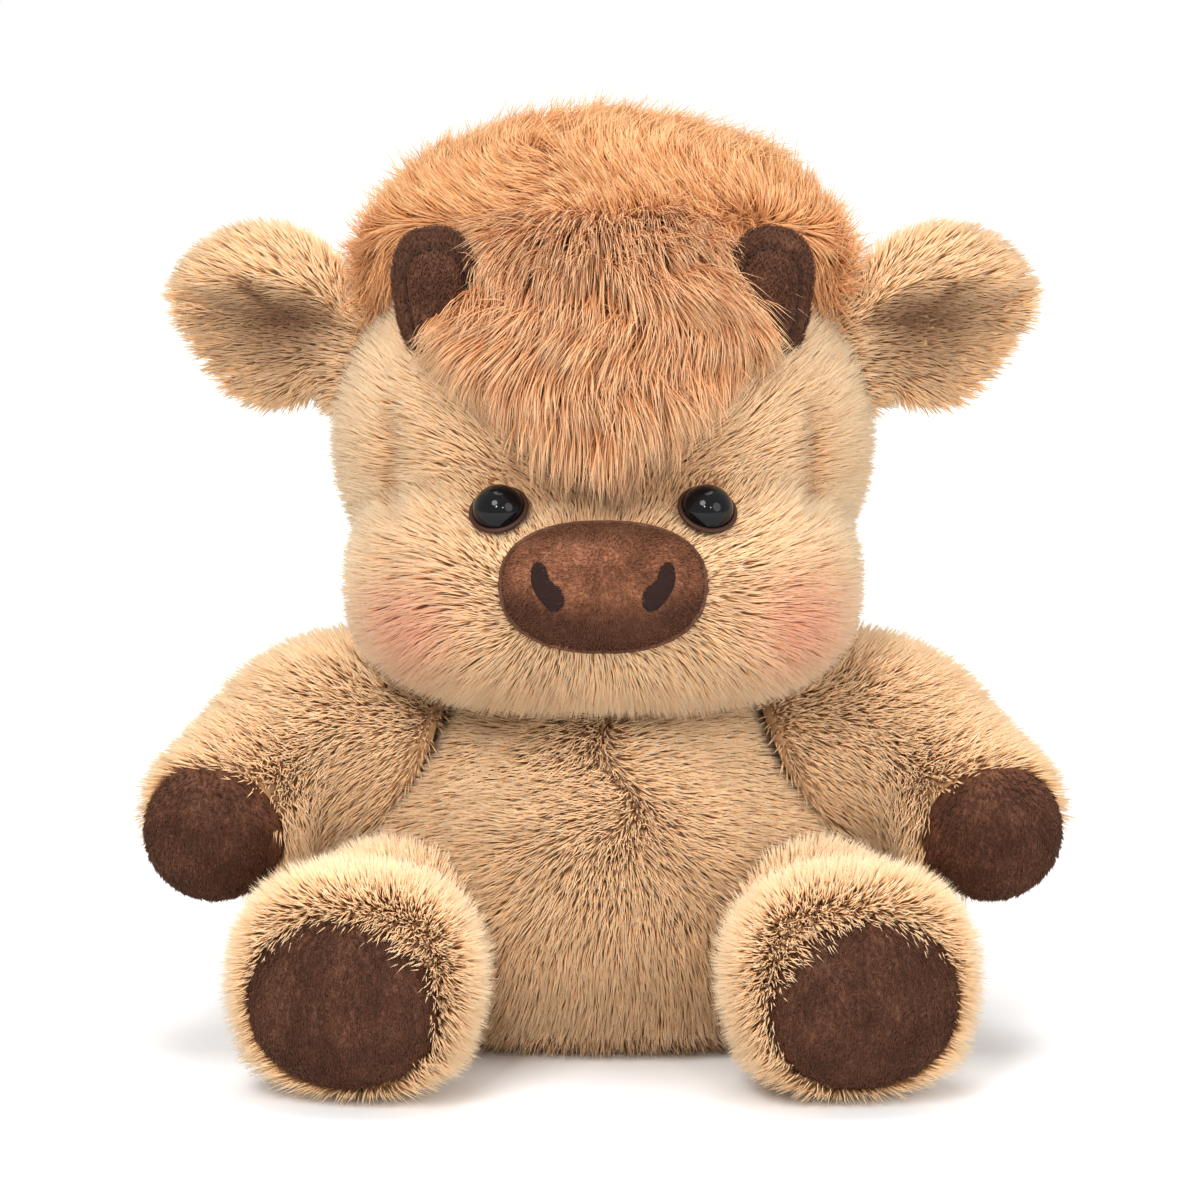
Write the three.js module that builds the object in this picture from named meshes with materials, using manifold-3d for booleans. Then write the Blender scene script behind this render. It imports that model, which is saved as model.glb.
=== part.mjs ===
// A seated plush cow, about 250 mm tall. Fur covers are sewn shut over fibre filling, with a
// pellet bag in the seat, short-plush horns, nose and pads, and plastic safety eyes.
// Millimetres, +Z up, the face towards -Y, the origin on the floor under the neck.
import * as THREE from "three";
import { mergeVertices } from "three/addons/utils/BufferGeometryUtils.js";
import Module from "manifold-3d";

const wasm = await Module();
wasm.setup();

// Cloth: every form below is the outer envelope of its fur
const pile = 8;
const backing = 1.5;
const cover = pile + backing;
const padSink = 3;
const padThickness = 4;

// Clearances
const sewnGap = 0.4;
const turnGap = 0.8;
const shoulderGap = 1.2;
const rootGap = 0.3;
const floorFlat = 0.5;
const overrun = 12;

// Torso: a belly over a squarer seat, with a chest that is round about the neck's axis
const bellyWidth = 138;
const bellyDepth = 120;
const bellyHeight = 88;
const bellyForward = 8;
const seatWidth = 126;
const seatDepth = 114;
const seatHeight = 52;
const seatPower = 3;
const chestDiameter = 100;
const chestHeight = 96;
const neckTop = 114;
const torsoBlend = 18;
const neckHole = 44;
const pelletBagTop = 30;

// Head: a skull and a wide muzzle with full cheeks
const skullWidth = 149;
const skullDepth = 130;
const skullHeight = 126;
const skullBack = 5;
const neckSink = 17;
const muzzleWidth = 140;
const muzzleDepth = 96;
const muzzleHeight = 68;
const muzzleForward = 28;
const muzzleDrop = 34.5;
const muzzlePower = 2.5;
const headBlend = 9;
const headTurn = THREE.MathUtils.degToRad(15);

// Eyes: a dome on a ribbed shank, held by a washer behind the cover
const eyeDiameter = 14;
const eyeSeat = 4.5;
const eyeSpacing = 56;
const eyeDrop = 8.4;
const shankDiameter = 4.4;
const shankRib = 0.5;
const shankRibs = 3;
const shankLength = 15;
const washerDiameter = 15;
const washerThickness = 2;

// Nose and nostrils
const noseWidth = 55;
const noseHeight = 34.4;
const noseDepth = 22;
const noseRise = 4.5;
const noseForward = 75;
const nostrilWidth = 9.4;
const nostrilHeight = 12.4;
const nostrilInset = 9.8;
const nostrilRise = 1.2;
const threadThickness = 1.2;
// Corners and bends of a nostril, as shares of its half width and half height
const nostrilShares = [
  [0.7, 1], [1.05, -0.1], [0.2, -0.8], [-0.6, -1.25], [-1, -0.5], [-0.9, 0.4], [0.7, 1],
];

// Horns
const hornWidth = 25;
const hornDepth = 21;
const hornHeight = 38;
const hornPower = 2.6;
const hornSpacing = 88;
const hornForward = 27;
const hornRise = 42.5;
const hornLean = THREE.MathUtils.degToRad(8);

// Long hair
const tuftWidth = 138;
const tuftDepth = 70;
const tuftHeight = 82;
const tuftBack = 8;
const tuftRise = 51;
const forelockThickness = 9;
const forelockWidth = 106;
const forelockTop = 52;
const forelockTip = 13;
const forelockFront = 18;
// Corners and bends of the forelock, as shares of its half width and its height above the tip
const forelockShares = [
  [-0.5, 1], [0, 1], [0.5, 1], [1.05, 0.7], [1, 0.38], [0.45, 0.14], [0, 0],
  [-0.45, 0.14], [-1, 0.38], [-1.05, 0.7], [-0.5, 1],
];

// Ears: a leaf on a rounded root, dished in front
const earLength = 54;
const earWidth = 55;
const earThickness = 20;
const earRootDiameter = 18;
const earRootLength = 42;
const earSink = 2;
const earRise = 24;
const earBack = 8;
const earTilt = THREE.MathUtils.degToRad(17);
const earTurn = THREE.MathUtils.degToRad(15);
const dishLength = 42;
const dishWidth = 34;
const dishDepth = 22;
const dishForward = 13;
const dishDrop = 5;
const liningThickness = 2.5;

// Arms: a shoulder that is round about its own seam's axis, and a forearm down to the hand
const shoulderHeight = 71;
const shoulderDiameter = 65;
const shoulderOut = 13;
const shoulderTilt = THREE.MathUtils.degToRad(24);
const shoulderSink = 6.5;
const shoulderRound = 14;
const elbowOut = 84;
const elbowForward = 8;
const elbowHeight = 73;
const elbowDiameter = 56;
const handOut = 103;
const handForward = 32;
const handHeight = 61;
const handDiameter = 49;
const handPadDiameter = 38;
const handPadShares = { out: 0.3, forward: 0.87, down: 0.38 };
const armBlend = 14;

// Legs: a thigh that meets the belly, and a foot that swells behind its sole
const footWidth = 69;
const footHeight = 63;
const footLength = 56;
const footPower = 2.4;
const footOut = 64;
const footForward = 92;
const thighWidth = 62;
const thighHeight = 60;
const thighLength = 72;
const thighBack = 40;
const legBlend = 10;
const legSplay = THREE.MathUtils.degToRad(12);
const solePadWidth = 50;
const solePadHeight = 47;
const solePadDrop = 4;

// Tail: a stub that turns on a round root, with a tuft of long hair
const tailRootDiameter = 14;
const tailDiameter = 12;
const tailLength = 24;
const tailHeight = 40;
const tailDroop = THREE.MathUtils.degToRad(50);
const tailSeat = 2.5;
const tailTuftLength = 30;
const tailTuftDiameter = 20;

// How finely each form is drawn
const headSegments = 22;
const headRings = 15;
const torsoSegments = 22;
const torsoRings = 12;
const limbSegments = 14;
const limbRings = 10;
const innerSegments = 10;
const innerRings = 8;
const noseSegments = 18;
const detailSegments = 12;
const detailRings = 9;
const bendSteps = 4;
const padSides = 18;
const shoulderSteps = 6;
const shoulderSides = 20;

const vec = (x, y, z) => new THREE.Vector3(x, y, z);
const xAxis = vec(1, 0, 0);
const yAxis = vec(0, 1, 0);
const zAxis = vec(0, 0, 1);

// Solids

// A closed geometry as a solid, moved by a matrix that may also mirror it.
function solid(geometry, place = new THREE.Matrix4()) {
  const bare = geometry.clone();
  for (const name of Object.keys(bare.attributes)) if (name !== "position") bare.deleteAttribute(name);
  const merged = mergeVertices(bare).applyMatrix4(place);
  const corners = Uint32Array.from(merged.index.array);
  if (place.determinant() < 0) {
    for (let i = 0; i < corners.length; i += 3) {
      [corners[i + 1], corners[i + 2]] = [corners[i + 2], corners[i + 1]];
    }
  }
  const points = Float32Array.from(merged.attributes.position.array);
  const made = (order) => new wasm.Manifold(
    new wasm.Mesh({ numProp: 3, vertProperties: points, triVerts: order }));
  const body = made(corners);
  return body.volume() > 0 ? body : made(corners.reverse());
}

const mirrorX = new THREE.Matrix4().makeScale(-1, 1, 1);

// The same cutter on the left and on the right side of the toy.
function pairOf(geometry, place = new THREE.Matrix4()) {
  return solid(geometry, place).add(solid(geometry, mirrorX.clone().multiply(place)));
}

// A matrix that puts local X, Y and Z along the given directions at a place.
function frameAt(place, x, y, z) {
  return new THREE.Matrix4().makeBasis(x, y, z).setPosition(place);
}

// Forms: each tells how far a point lies outside a rounded surface, negative inside

function roundForm(centre, half, power = 2, frame = new THREE.Quaternion()) {
  const back = frame.clone().invert();
  return (point) => {
    const q = point.clone().sub(centre).applyQuaternion(back);
    const sum = Math.abs(q.x / half.x) ** power + Math.abs(q.y / half.y) ** power
      + Math.abs(q.z / half.z) ** power;
    const reach = Math.max(sum ** (1 / power), Number.EPSILON);
    return q.length() * (1 - 1 / reach);
  };
}

// A limb between two points, with a radius at each.
function limbForm(from, to, fromRadius, toRadius) {
  const along = to.clone().sub(from);
  return (point) => {
    const share = THREE.MathUtils.clamp(point.clone().sub(from).dot(along) / along.lengthSq(), 0, 1);
    const radius = THREE.MathUtils.lerp(fromRadius, toRadius, share);
    return point.distanceTo(from.clone().addScaledVector(along, share)) - radius;
  };
}

// Forms that melt into each other over a blend length.
function blended(forms, blend) {
  return (point) => forms.map((form) => form(point)).reduce((a, b) => {
    const share = Math.max(blend - Math.abs(a - b), 0) / blend;
    return Math.min(a, b) - (share * share * blend) / 4;
  });
}

// How far along a ray from inside a form its surface lies, grown by a length.
function rayLength(form, from, direction, grow = 0) {
  const outside = (length) => form(from.clone().addScaledVector(direction, length)) > grow;
  let high = pile;
  for (let i = 0; i < 12 && !outside(high); i += 1) high *= 2;
  let low = 0;
  for (let i = 0; i < 30; i += 1) {
    const middle = (low + high) / 2;
    if (outside(middle)) high = middle;
    else low = middle;
  }
  return low;
}

// The closed skin of a form seen from a point inside it, with its poles along one direction.
function skin(form, inside, grow, segments, rings, pole = zAxis) {
  const ball = new THREE.SphereGeometry(1, segments, rings);
  for (const name of ["normal", "uv"]) ball.deleteAttribute(name);
  const merged = mergeVertices(ball);
  const turn = new THREE.Quaternion().setFromUnitVectors(yAxis, pole);
  const points = merged.attributes.position;
  for (let i = 0; i < points.count; i += 1) {
    const direction = new THREE.Vector3().fromBufferAttribute(points, i).applyQuaternion(turn).normalize();
    const place = inside.clone().addScaledVector(direction, rayLength(form, inside, direction, grow));
    points.setXYZ(i, place.x, place.y, place.z);
  }
  return merged;
}

// A round bar from one point to another, elliptical where it has a second width.
function bar(from, to, width, height = width) {
  const along = to.clone().sub(from);
  const round = new THREE.CylinderGeometry(1, 1, 1, padSides);
  const y = along.clone().normalize();
  const up = Math.abs(y.z) < 1 ? zAxis : xAxis;
  const x = new THREE.Vector3().crossVectors(y, up).normalize();
  const z = new THREE.Vector3().crossVectors(x, y);
  const place = frameAt(from.clone().add(to).multiplyScalar(1 / 2), x, y, z);
  round.scale(width / 2, along.length(), height / 2);
  return round.applyMatrix4(place);
}

// A box between two corners.
function block(low, high) {
  const size = high.clone().sub(low);
  const middle = low.clone().add(high).multiplyScalar(1 / 2);
  return new THREE.BoxGeometry(size.x, size.y, size.z).translate(middle.x, middle.y, middle.z);
}

// A closed turned solid about an axis: each profile point is a radius and a height along it.
function turned(profile, origin, axis, sides) {
  const lathe = new THREE.LatheGeometry(profile.map(([r, h]) => new THREE.Vector2(r, h)), sides);
  const turn = new THREE.Quaternion().setFromUnitVectors(yAxis, axis);
  return lathe.applyQuaternion(turn).translate(origin.x, origin.y, origin.z);
}

// A closed outline through every other point of a list, each point between them a bend.
function curvedOutline(points) {
  const outline = new THREE.Shape().moveTo(...points[0]);
  for (let i = 2; i < points.length; i += 2) outline.quadraticCurveTo(...points[i - 1], ...points[i]);
  return outline;
}

// The torso's form

const seatMiddle = vec(0, -bellyForward, seatHeight / 2 - floorFlat);
const bellyMiddle = vec(0, -bellyForward, bellyHeight / 2 - floorFlat);
const chestMiddle = vec(0, 0, neckTop - chestHeight / 2);
const torsoForm = blended([
  roundForm(seatMiddle, vec(seatWidth, seatDepth, seatHeight).divideScalar(2), seatPower),
  roundForm(bellyMiddle, vec(bellyWidth, bellyDepth, bellyHeight).divideScalar(2)),
  roundForm(chestMiddle, vec(chestDiameter, chestDiameter, chestHeight).divideScalar(2)),
], torsoBlend);
const torsoCore = bellyMiddle;

// The head's form

const skullMiddle = vec(0, skullBack, neckTop - neckSink + skullHeight / 2);
const muzzleMiddle = vec(0, -muzzleForward, skullMiddle.z - muzzleDrop);
const headForm = blended([
  roundForm(skullMiddle, vec(skullWidth, skullDepth, skullHeight).divideScalar(2)),
  roundForm(muzzleMiddle, vec(muzzleWidth, muzzleDepth, muzzleHeight).divideScalar(2), muzzlePower),
], headBlend);
const headCore = vec(0, 0, (skullMiddle.z + muzzleMiddle.z) / 2);


const headSkin = (grow) => solid(skin(headForm, headCore, grow, headSegments, headRings));
const torsoGeometry = (grow) => skin(torsoForm, torsoCore, grow, torsoSegments, torsoRings);
const torsoSkin = (grow) => solid(torsoGeometry(grow));

// The head sits on a dome that is round about the neck, so that it turns without rubbing.
function neckDome(grow) {
  const steps = 6;
  const foot = vec(0, 0, skullMiddle.z - skullHeight / 2 - overrun);
  const profile = [[0, 0]];
  for (let i = 0; i <= steps; i += 1) {
    const angle = (i / steps) * (Math.PI / 2);
    let radius = 0;
    let height = 0;
    for (let side = 0; side < torsoSegments; side += 1) {
      const round = (side / torsoSegments) * 2 * Math.PI;
      const flat = Math.cos(angle);
      const direction = vec(Math.cos(round) * flat, Math.sin(round) * flat, Math.sin(angle));
      const length = rayLength(torsoForm, foot, direction, grow);
      radius = Math.max(radius, length * Math.cos(angle));
      height = Math.max(height, length * Math.sin(angle));
    }
    profile.push([i === steps ? 0 : radius, height]);
  }
  return solid(turned(profile, foot, zAxis, torsoSegments));
}

// Materials

const cloth = (color, roughness = 1) => new THREE.MeshStandardMaterial({ color, roughness, metalness: 0 });
const fur = cloth(0xd9a776);
const furInside = cloth(0xc8935f);
const longHair = cloth(0xcf9562);
const shortPlush = cloth(0x5a3a29, 0.9);
const thread = cloth(0x2a1711, 0.8);
const fibre = cloth(0xf1efe9);
const pellets = cloth(0xd8d8d4, 0.6);
const eyePlastic = cloth(0x08080a, 0.06);
const washerPlastic = cloth(0xe9e9e6, 0.5);

const toy = new THREE.Group();
const leftSide = new THREE.Group();
const rightSide = new THREE.Group();
rightSide.scale.x = -1;
toy.add(leftSide, rightSide);

function meshOf(name, body, material) {
  const made = body.getMesh();
  const points = new THREE.BufferAttribute(Float32Array.from(made.vertProperties), made.numProp);
  const geometry = new THREE.BufferGeometry().setAttribute("position", points);
  geometry.setIndex(new THREE.BufferAttribute(Uint32Array.from(made.triVerts), 1));
  const flat = geometry.toNonIndexed();
  flat.computeVertexNormals();
  const mesh = new THREE.Mesh(flat, material);
  mesh.name = name;
  return mesh;
}

// One piece on the toy's left side, and its mirror image on the right.
function addPair(name, ending, body, material) {
  leftSide.add(meshOf(`${name}_left${ending}`, body, material));
  rightSide.add(meshOf(`${name}_right${ending}`, body, material));
}

// Arms

const shoulderAxis = vec(Math.cos(shoulderTilt), 0, Math.sin(shoulderTilt));
const shoulderStart = vec(0, 0, shoulderHeight);
const shoulder = vec(rayLength(torsoForm, shoulderStart, xAxis), 0, shoulderHeight);
const shoulderMiddle = shoulder.clone().addScaledVector(shoulderAxis, shoulderOut);
const elbow = vec(elbowOut, -elbowForward, elbowHeight);
const hand = vec(handOut, -handForward, handHeight);
const armForm = blended([
  limbForm(shoulder, shoulderMiddle, shoulderDiameter / 2, shoulderDiameter / 2),
  limbForm(elbow, hand, elbowDiameter / 2, handDiameter / 2),
], armBlend);
const armPole = hand.clone().sub(shoulder).normalize();
const armFrame = frameAt(shoulder, yAxis.clone().negate(), shoulderAxis,
  new THREE.Vector3().crossVectors(yAxis.clone().negate(), shoulderAxis));

// The point at a height along the shoulder's axis, a radius away from it and an angle round it.
function aboutShoulder(height, radius, angle) {
  return vec(radius * Math.cos(angle), height, radius * Math.sin(angle)).applyMatrix4(armFrame);
}

// The widest that the arm can be about its axis at a height, under a head that turns.
function shoulderRoom(height) {
  const steps = 40;
  for (let i = 0; i < steps; i += 1) {
    const radius = (i / steps) * shoulderDiameter;
    for (let side = 0; side < limbSegments; side += 1) {
      const place = aboutShoulder(height, radius, (side / limbSegments) * 2 * Math.PI);
      for (const turn of [-headTurn, -headTurn / 2, 0, headTurn / 2, headTurn]) {
        const clear = headForm(place.clone().applyAxisAngle(zAxis, turn));
        if (clear < turnGap + 2 * backing) return radius - shoulderDiameter / steps;
      }
    }
  }
  return shoulderDiameter;
}

const shoulderHeights = Array.from({ length: shoulderSteps + 1 },
  (_, i) => THREE.MathUtils.lerp(-shoulderSink, shoulderRound, i / shoulderSteps));
const shoulderRooms = shoulderHeights.map(shoulderRoom);

// The space that the arm may fill, grown by a length: flat at its root, then round, then a cone
// that is clear of the head.
function armReach(grow = 0) {
  const far = elbowOut + handOut;
  const room = shoulderRooms[shoulderSteps] + grow;
  const base = -shoulderSink - grow;
  const profile = [[0, base], [shoulderRoom(base) + grow, base]];
  shoulderHeights.forEach((height, i) => {
    if (height > base) profile.push([shoulderRooms[i] + grow, height]);
  });
  profile.push([room + far, shoulderRound + far], [0, shoulderRound + far]);
  return solid(turned(profile, shoulder, shoulderAxis, shoulderSides));
}

// How far the arm's own form reaches from the shoulder's axis at a height along it.
function armRadius(height) {
  const from = aboutShoulder(height, 0, 0);
  let radius = 0;
  for (let side = 0; side < shoulderSides; side += 1) {
    const direction = aboutShoulder(height, 1, (side / shoulderSides) * 2 * Math.PI).sub(from);
    radius = Math.max(radius, rayLength(armForm, from, direction));
  }
  return radius;
}

// The recess in the torso's side that the arm's root turns in.
function shoulderRecess(grow) {
  const own = shoulderHeights.map(armRadius);
  const radii = own.map((radius, i) => Math.min(radius, shoulderRooms[i]) + grow);
  const base = -shoulderSink - rootGap - grow + shoulderGap;
  const profile = [[0, base], [radii[0], base]];
  shoulderHeights.forEach((height, i) => profile.push([radii[i], height]));
  profile.push([radii[shoulderSteps], shoulderRound + overrun], [0, shoulderRound + overrun]);
  return turned(profile, shoulder, shoulderAxis, shoulderSides);
}

const handFacing = vec(handPadShares.out, -handPadShares.forward, -handPadShares.down).normalize();
const handEnd = hand.clone().addScaledVector(handFacing, handDiameter);
const handMouth = bar(hand, handEnd, handPadDiameter);
const handPadBar = bar(hand, handEnd, handPadDiameter - 2 * sewnGap);
const armSkin = (grow, segments, rings) => solid(skin(armForm, elbow, grow, segments, rings, armPole));
const armOuter = armSkin(0, limbSegments, limbRings).intersect(armReach());
const armCavity = armSkin(-cover, innerSegments, innerRings).intersect(armReach(-cover));
addPair("arm", "_cover", armOuter.subtract(armCavity).subtract(solid(handMouth)), fur);
addPair("arm", "_filling", armSkin(-cover - sewnGap, innerSegments, innerRings)
  .intersect(armReach(-cover - sewnGap)), fibre);
addPair("hand_pad", "", armSkin(-padSink, limbSegments, limbRings)
  .subtract(armSkin(-padSink - padThickness, limbSegments, limbRings))
  .intersect(solid(handPadBar)), shortPlush);

// Legs

const legFacing = vec(Math.sin(legSplay), -Math.cos(legSplay), 0);
const legTurn = new THREE.Quaternion().setFromAxisAngle(zAxis, legSplay);
const foot = vec(footOut, -footForward, footHeight / 2 - floorFlat);
const thigh = foot.clone().addScaledVector(legFacing, -thighBack).setZ(thighHeight / 2 + floorFlat);
const legForm = blended([
  roundForm(foot, vec(footWidth, footLength, footHeight).divideScalar(2), footPower, legTurn),
  roundForm(thigh, vec(thighWidth, thighLength, thighHeight).divideScalar(2), 2, legTurn),
], legBlend);
const legCore = foot.clone().lerp(thigh, 1 / 3);
const soleMiddle = foot.clone().setZ(foot.z - solePadDrop);
const soleEnd = soleMiddle.clone().addScaledVector(legFacing, footLength);
const soleMouth = bar(soleMiddle, soleEnd, solePadWidth, solePadHeight);
const solePadBar = bar(soleMiddle, soleEnd, solePadWidth - 2 * sewnGap, solePadHeight - 2 * sewnGap);
const legSkin = (grow, segments, rings) => solid(skin(legForm, legCore, grow, segments, rings, legFacing));
const underFloor = solid(block(
  vec(-bellyWidth, -footForward - footLength, -overrun),
  vec(bellyWidth, bellyDepth, 0),
));
const legOuter = legSkin(0, limbSegments, limbRings).subtract(pairOf(torsoGeometry(turnGap)))
  .subtract(underFloor);
const legCavity = legSkin(-cover, innerSegments, innerRings).subtract(torsoSkin(turnGap + cover));
addPair("leg", "_cover", legOuter.subtract(legCavity).subtract(solid(soleMouth)), fur);
addPair("leg", "_filling", legSkin(-cover - sewnGap, innerSegments, innerRings)
  .subtract(torsoSkin(turnGap + cover + sewnGap)), fibre);
addPair("sole_pad", "", legSkin(-padSink, limbSegments, limbRings)
  .subtract(legSkin(-padSink - padThickness, limbSegments, limbRings))
  .intersect(solid(solePadBar)), shortPlush);

// Tail

const tailBack = rayLength(torsoForm, vec(0, 0, tailHeight), yAxis);
const tailRoot = vec(0, tailBack + tailSeat, tailHeight);
const tailFacing = vec(0, Math.cos(tailDroop), -Math.sin(tailDroop));
const tailEnd = tailRoot.clone().addScaledVector(tailFacing, tailLength);
const tailTuftMiddle = tailRoot.clone().addScaledVector(tailFacing, tailLength + tailTuftLength / 4);
const tailRootForm = roundForm(tailRoot, vec(1, 1, 1).multiplyScalar(tailRootDiameter / 2));
const tailForm = blended([
  tailRootForm,
  limbForm(tailRoot, tailEnd, tailDiameter / 2, tailDiameter / 2),
], backing);
const tailTurn = new THREE.Quaternion().setFromUnitVectors(yAxis, tailFacing);
const tailTuftForm = roundForm(
  tailTuftMiddle, vec(tailTuftDiameter, tailTuftLength, tailTuftDiameter).divideScalar(2), 2, tailTurn);
const tailCore = tailRoot.clone().addScaledVector(tailFacing, tailLength / 2);
const tailSkin = (grow) => solid(skin(tailForm, tailCore, grow, detailSegments, detailRings, tailFacing));
toy.add(meshOf("tail", tailSkin(0), fur));
const tailTuft = skin(tailTuftForm, tailTuftMiddle, 0, detailSegments, detailRings, tailFacing);
toy.add(meshOf("tail_tuft", solid(tailTuft).subtract(tailSkin(sewnGap)), longHair));
const tailRecess = skin(tailRootForm, tailRoot, turnGap, detailSegments, detailRings, xAxis);

// Torso

const neckBar = (width, low, high) => solid(bar(vec(0, 0, low), vec(0, 0, high), width));
const torsoInside = (grow) => solid(skin(torsoForm, torsoCore, grow, innerSegments, innerRings));
const shoulderRecesses = (grow) => pairOf(shoulderRecess(grow));
const torsoCavity = torsoInside(-cover).subtract(shoulderRecesses(shoulderGap + backing));
toy.add(meshOf("torso_cover", torsoSkin(0).subtract(torsoCavity)
  .subtract(neckBar(neckHole, neckTop - chestHeight / 4, neckTop + overrun))
  .subtract(shoulderRecesses(shoulderGap)).subtract(solid(tailRecess)).subtract(underFloor), fur));
const torsoInner = torsoInside(-cover - sewnGap).subtract(shoulderRecesses(shoulderGap + backing + sewnGap));
const aboveBag = block(
  vec(-bellyWidth, -bellyDepth, pelletBagTop + sewnGap), vec(bellyWidth, bellyDepth, neckTop));
const belowBag = block(vec(-bellyWidth, -bellyDepth, 0), vec(bellyWidth, bellyDepth, pelletBagTop));
toy.add(meshOf("torso_filling", torsoInner.intersect(solid(aboveBag)), fibre));
toy.add(meshOf("pellet_bag", torsoInner.intersect(solid(belowBag)), pellets));

// Eyes, each in a frame on the face with its local Y pointing out of the head

function faceFrame(x, z) {
  const start = vec(x, 0, z);
  const place = start.clone().addScaledVector(yAxis, -rayLength(headForm, start, yAxis.clone().negate()));
  const step = backing;
  const slope = (axis) => headForm(place.clone().addScaledVector(axis, step))
    - headForm(place.clone().addScaledVector(axis, -step));
  const out = vec(slope(xAxis), slope(yAxis), slope(zAxis)).normalize();
  const side = new THREE.Vector3().crossVectors(out, zAxis).normalize();
  return frameAt(place, side, out, new THREE.Vector3().crossVectors(side, out));
}

const origin = vec(0, 0, 0);
const eyePlace = faceFrame(eyeSpacing / 2, skullMiddle.z - eyeDrop);
const domeSteps = 4;
const eyeProfile = [[0, -eyeSeat - shankLength]];
eyeProfile.push([shankDiameter / 2, -eyeSeat - shankLength]);
for (let rib = 0; rib < shankRibs; rib += 1) {
  const height = -eyeSeat - shankLength + (rib + 1) * washerThickness;
  eyeProfile.push([shankDiameter / 2, height], [shankDiameter / 2 + shankRib, height + shankRib]);
  eyeProfile.push([shankDiameter / 2, height + 2 * shankRib]);
}
eyeProfile.push([shankDiameter / 2, -eyeSeat]);
for (let i = 0; i <= domeSteps; i += 1) {
  const angle = (i / domeSteps) * (Math.PI / 2);
  const radius = i === domeSteps ? 0 : (eyeDiameter / 2) * Math.cos(angle);
  eyeProfile.push([radius, -eyeSeat + (eyeDiameter / 2) * Math.sin(angle)]);
}
addPair("eye", "", solid(turned(eyeProfile, origin, yAxis, detailSegments), eyePlace), eyePlastic);
const eyeBore = turned([
  [0, -eyeSeat - shankLength - sewnGap],
  [shankDiameter / 2 + shankRib + sewnGap, -eyeSeat - shankLength - sewnGap],
  [shankDiameter / 2 + shankRib + sewnGap, -eyeSeat - sewnGap],
  [eyeDiameter / 2 + sewnGap, -eyeSeat - sewnGap],
  [eyeDiameter / 2 + sewnGap, overrun],
  [0, overrun],
], origin, yAxis, detailSegments);
const washerBack = -cover - 2 * sewnGap - washerThickness;
const washerProfile = [
  [shankDiameter / 2 + shankRib + sewnGap / 2, washerBack],
  [washerDiameter / 2, washerBack],
  [washerDiameter / 2, washerBack + washerThickness],
  [shankDiameter / 2 + shankRib + sewnGap / 2, washerBack + washerThickness],
];
washerProfile.push(washerProfile[0]);
const washer = solid(turned(washerProfile, origin, yAxis, detailSegments), eyePlace)
  .subtract(solid(turned(eyeProfile, origin, yAxis, detailSegments), eyePlace));
addPair("eye_washer", "", washer, washerPlastic);
const washerRoom = turned([
  [0, -eyeSeat - shankLength - 2 * sewnGap],
  [washerDiameter / 2 + sewnGap, -eyeSeat - shankLength - 2 * sewnGap],
  [washerDiameter / 2 + sewnGap, 0],
  [0, 0],
], origin, yAxis, detailSegments);
const washerPocket = turned([
  [0, washerBack - sewnGap],
  [washerDiameter / 2 + sewnGap, washerBack - sewnGap],
  [washerDiameter / 2 + sewnGap, washerBack + washerThickness + sewnGap],
  [0, washerBack + washerThickness + sewnGap],
], origin, yAxis, detailSegments);

// Nose, with each nostril sewn into it

const noseMiddle = vec(0, noseDepth / 2 - noseForward - padThickness, muzzleMiddle.z + noseRise);
const noseForm = roundForm(noseMiddle, vec(noseWidth, noseDepth, noseHeight).divideScalar(2));
const noseSkin = (grow) => solid(skin(noseForm, noseMiddle, grow, noseSegments, detailRings));
function nostrilOutline(grow) {
  const half = vec(nostrilWidth / 2 + grow, nostrilHeight / 2 + grow, 0);
  const bends = curvedOutline(nostrilShares.map(([x, y]) => [x * half.x, y * half.y]));
  return new THREE.ExtrudeGeometry(bends, { depth: noseDepth, bevelEnabled: false, curveSegments: bendSteps })
    .rotateX(Math.PI / 2)
    .translate(nostrilInset + nostrilWidth / 2, noseMiddle.y, noseMiddle.z + nostrilRise);
}
const nostril = noseSkin(0).subtract(noseSkin(-threadThickness)).intersect(solid(nostrilOutline(0)));
addPair("nostril", "", nostril, thread);
const nostrilRecesses = noseSkin(overrun).subtract(noseSkin(-threadThickness - sewnGap))
  .intersect(pairOf(nostrilOutline(sewnGap)));
const noseWhole = noseSkin(0).subtract(headSkin(-padThickness));
toy.add(meshOf("nose_pad", noseWhole.subtract(nostrilRecesses), shortPlush));
const noseRecess = noseSkin(sewnGap).subtract(headSkin(-padThickness - sewnGap));

// Ears, each in a frame at its root with local X out along the ear and Z up its seam

const earHeight = skullMiddle.z + earRise;
const earPlaceOut = rayLength(headForm, vec(0, earBack, earHeight), xAxis) - earSink;
const earAlong = vec(Math.cos(earTilt), 0, Math.sin(earTilt));
const earUp = vec(-Math.sin(earTilt), 0, Math.cos(earTilt));
const earPlace = frameAt(vec(earPlaceOut, earBack, earHeight), earAlong, yAxis, earUp);
const rootHalf = (earRootLength - earRootDiameter) / 2;
const rootRadius = earRootDiameter / 2;
const rootForm = limbForm(vec(0, 0, -rootHalf), vec(0, 0, rootHalf), rootRadius, rootRadius);
const earForm = blended([
  rootForm,
  roundForm(vec(earLength / 2, 0, 0), vec(earLength, earThickness, earWidth).divideScalar(2)),
], backing);
const earCore = vec(earLength / 4, 0, 0);
const earSkin = (grow) => skin(earForm, earCore, grow, detailSegments, detailRings, xAxis);
const dishMiddle = vec(earLength / 2, -dishForward, -dishDrop);
const dishForm = roundForm(dishMiddle, vec(dishLength, dishDepth, dishWidth).divideScalar(2));
const dish = (grow) => solid(skin(dishForm, dishMiddle, grow, detailSegments, detailRings, yAxis), earPlace);
const earWhole = solid(earSkin(0), earPlace);
addPair("ear", "_back", earWhole.subtract(dish(0)), fur);
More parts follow.
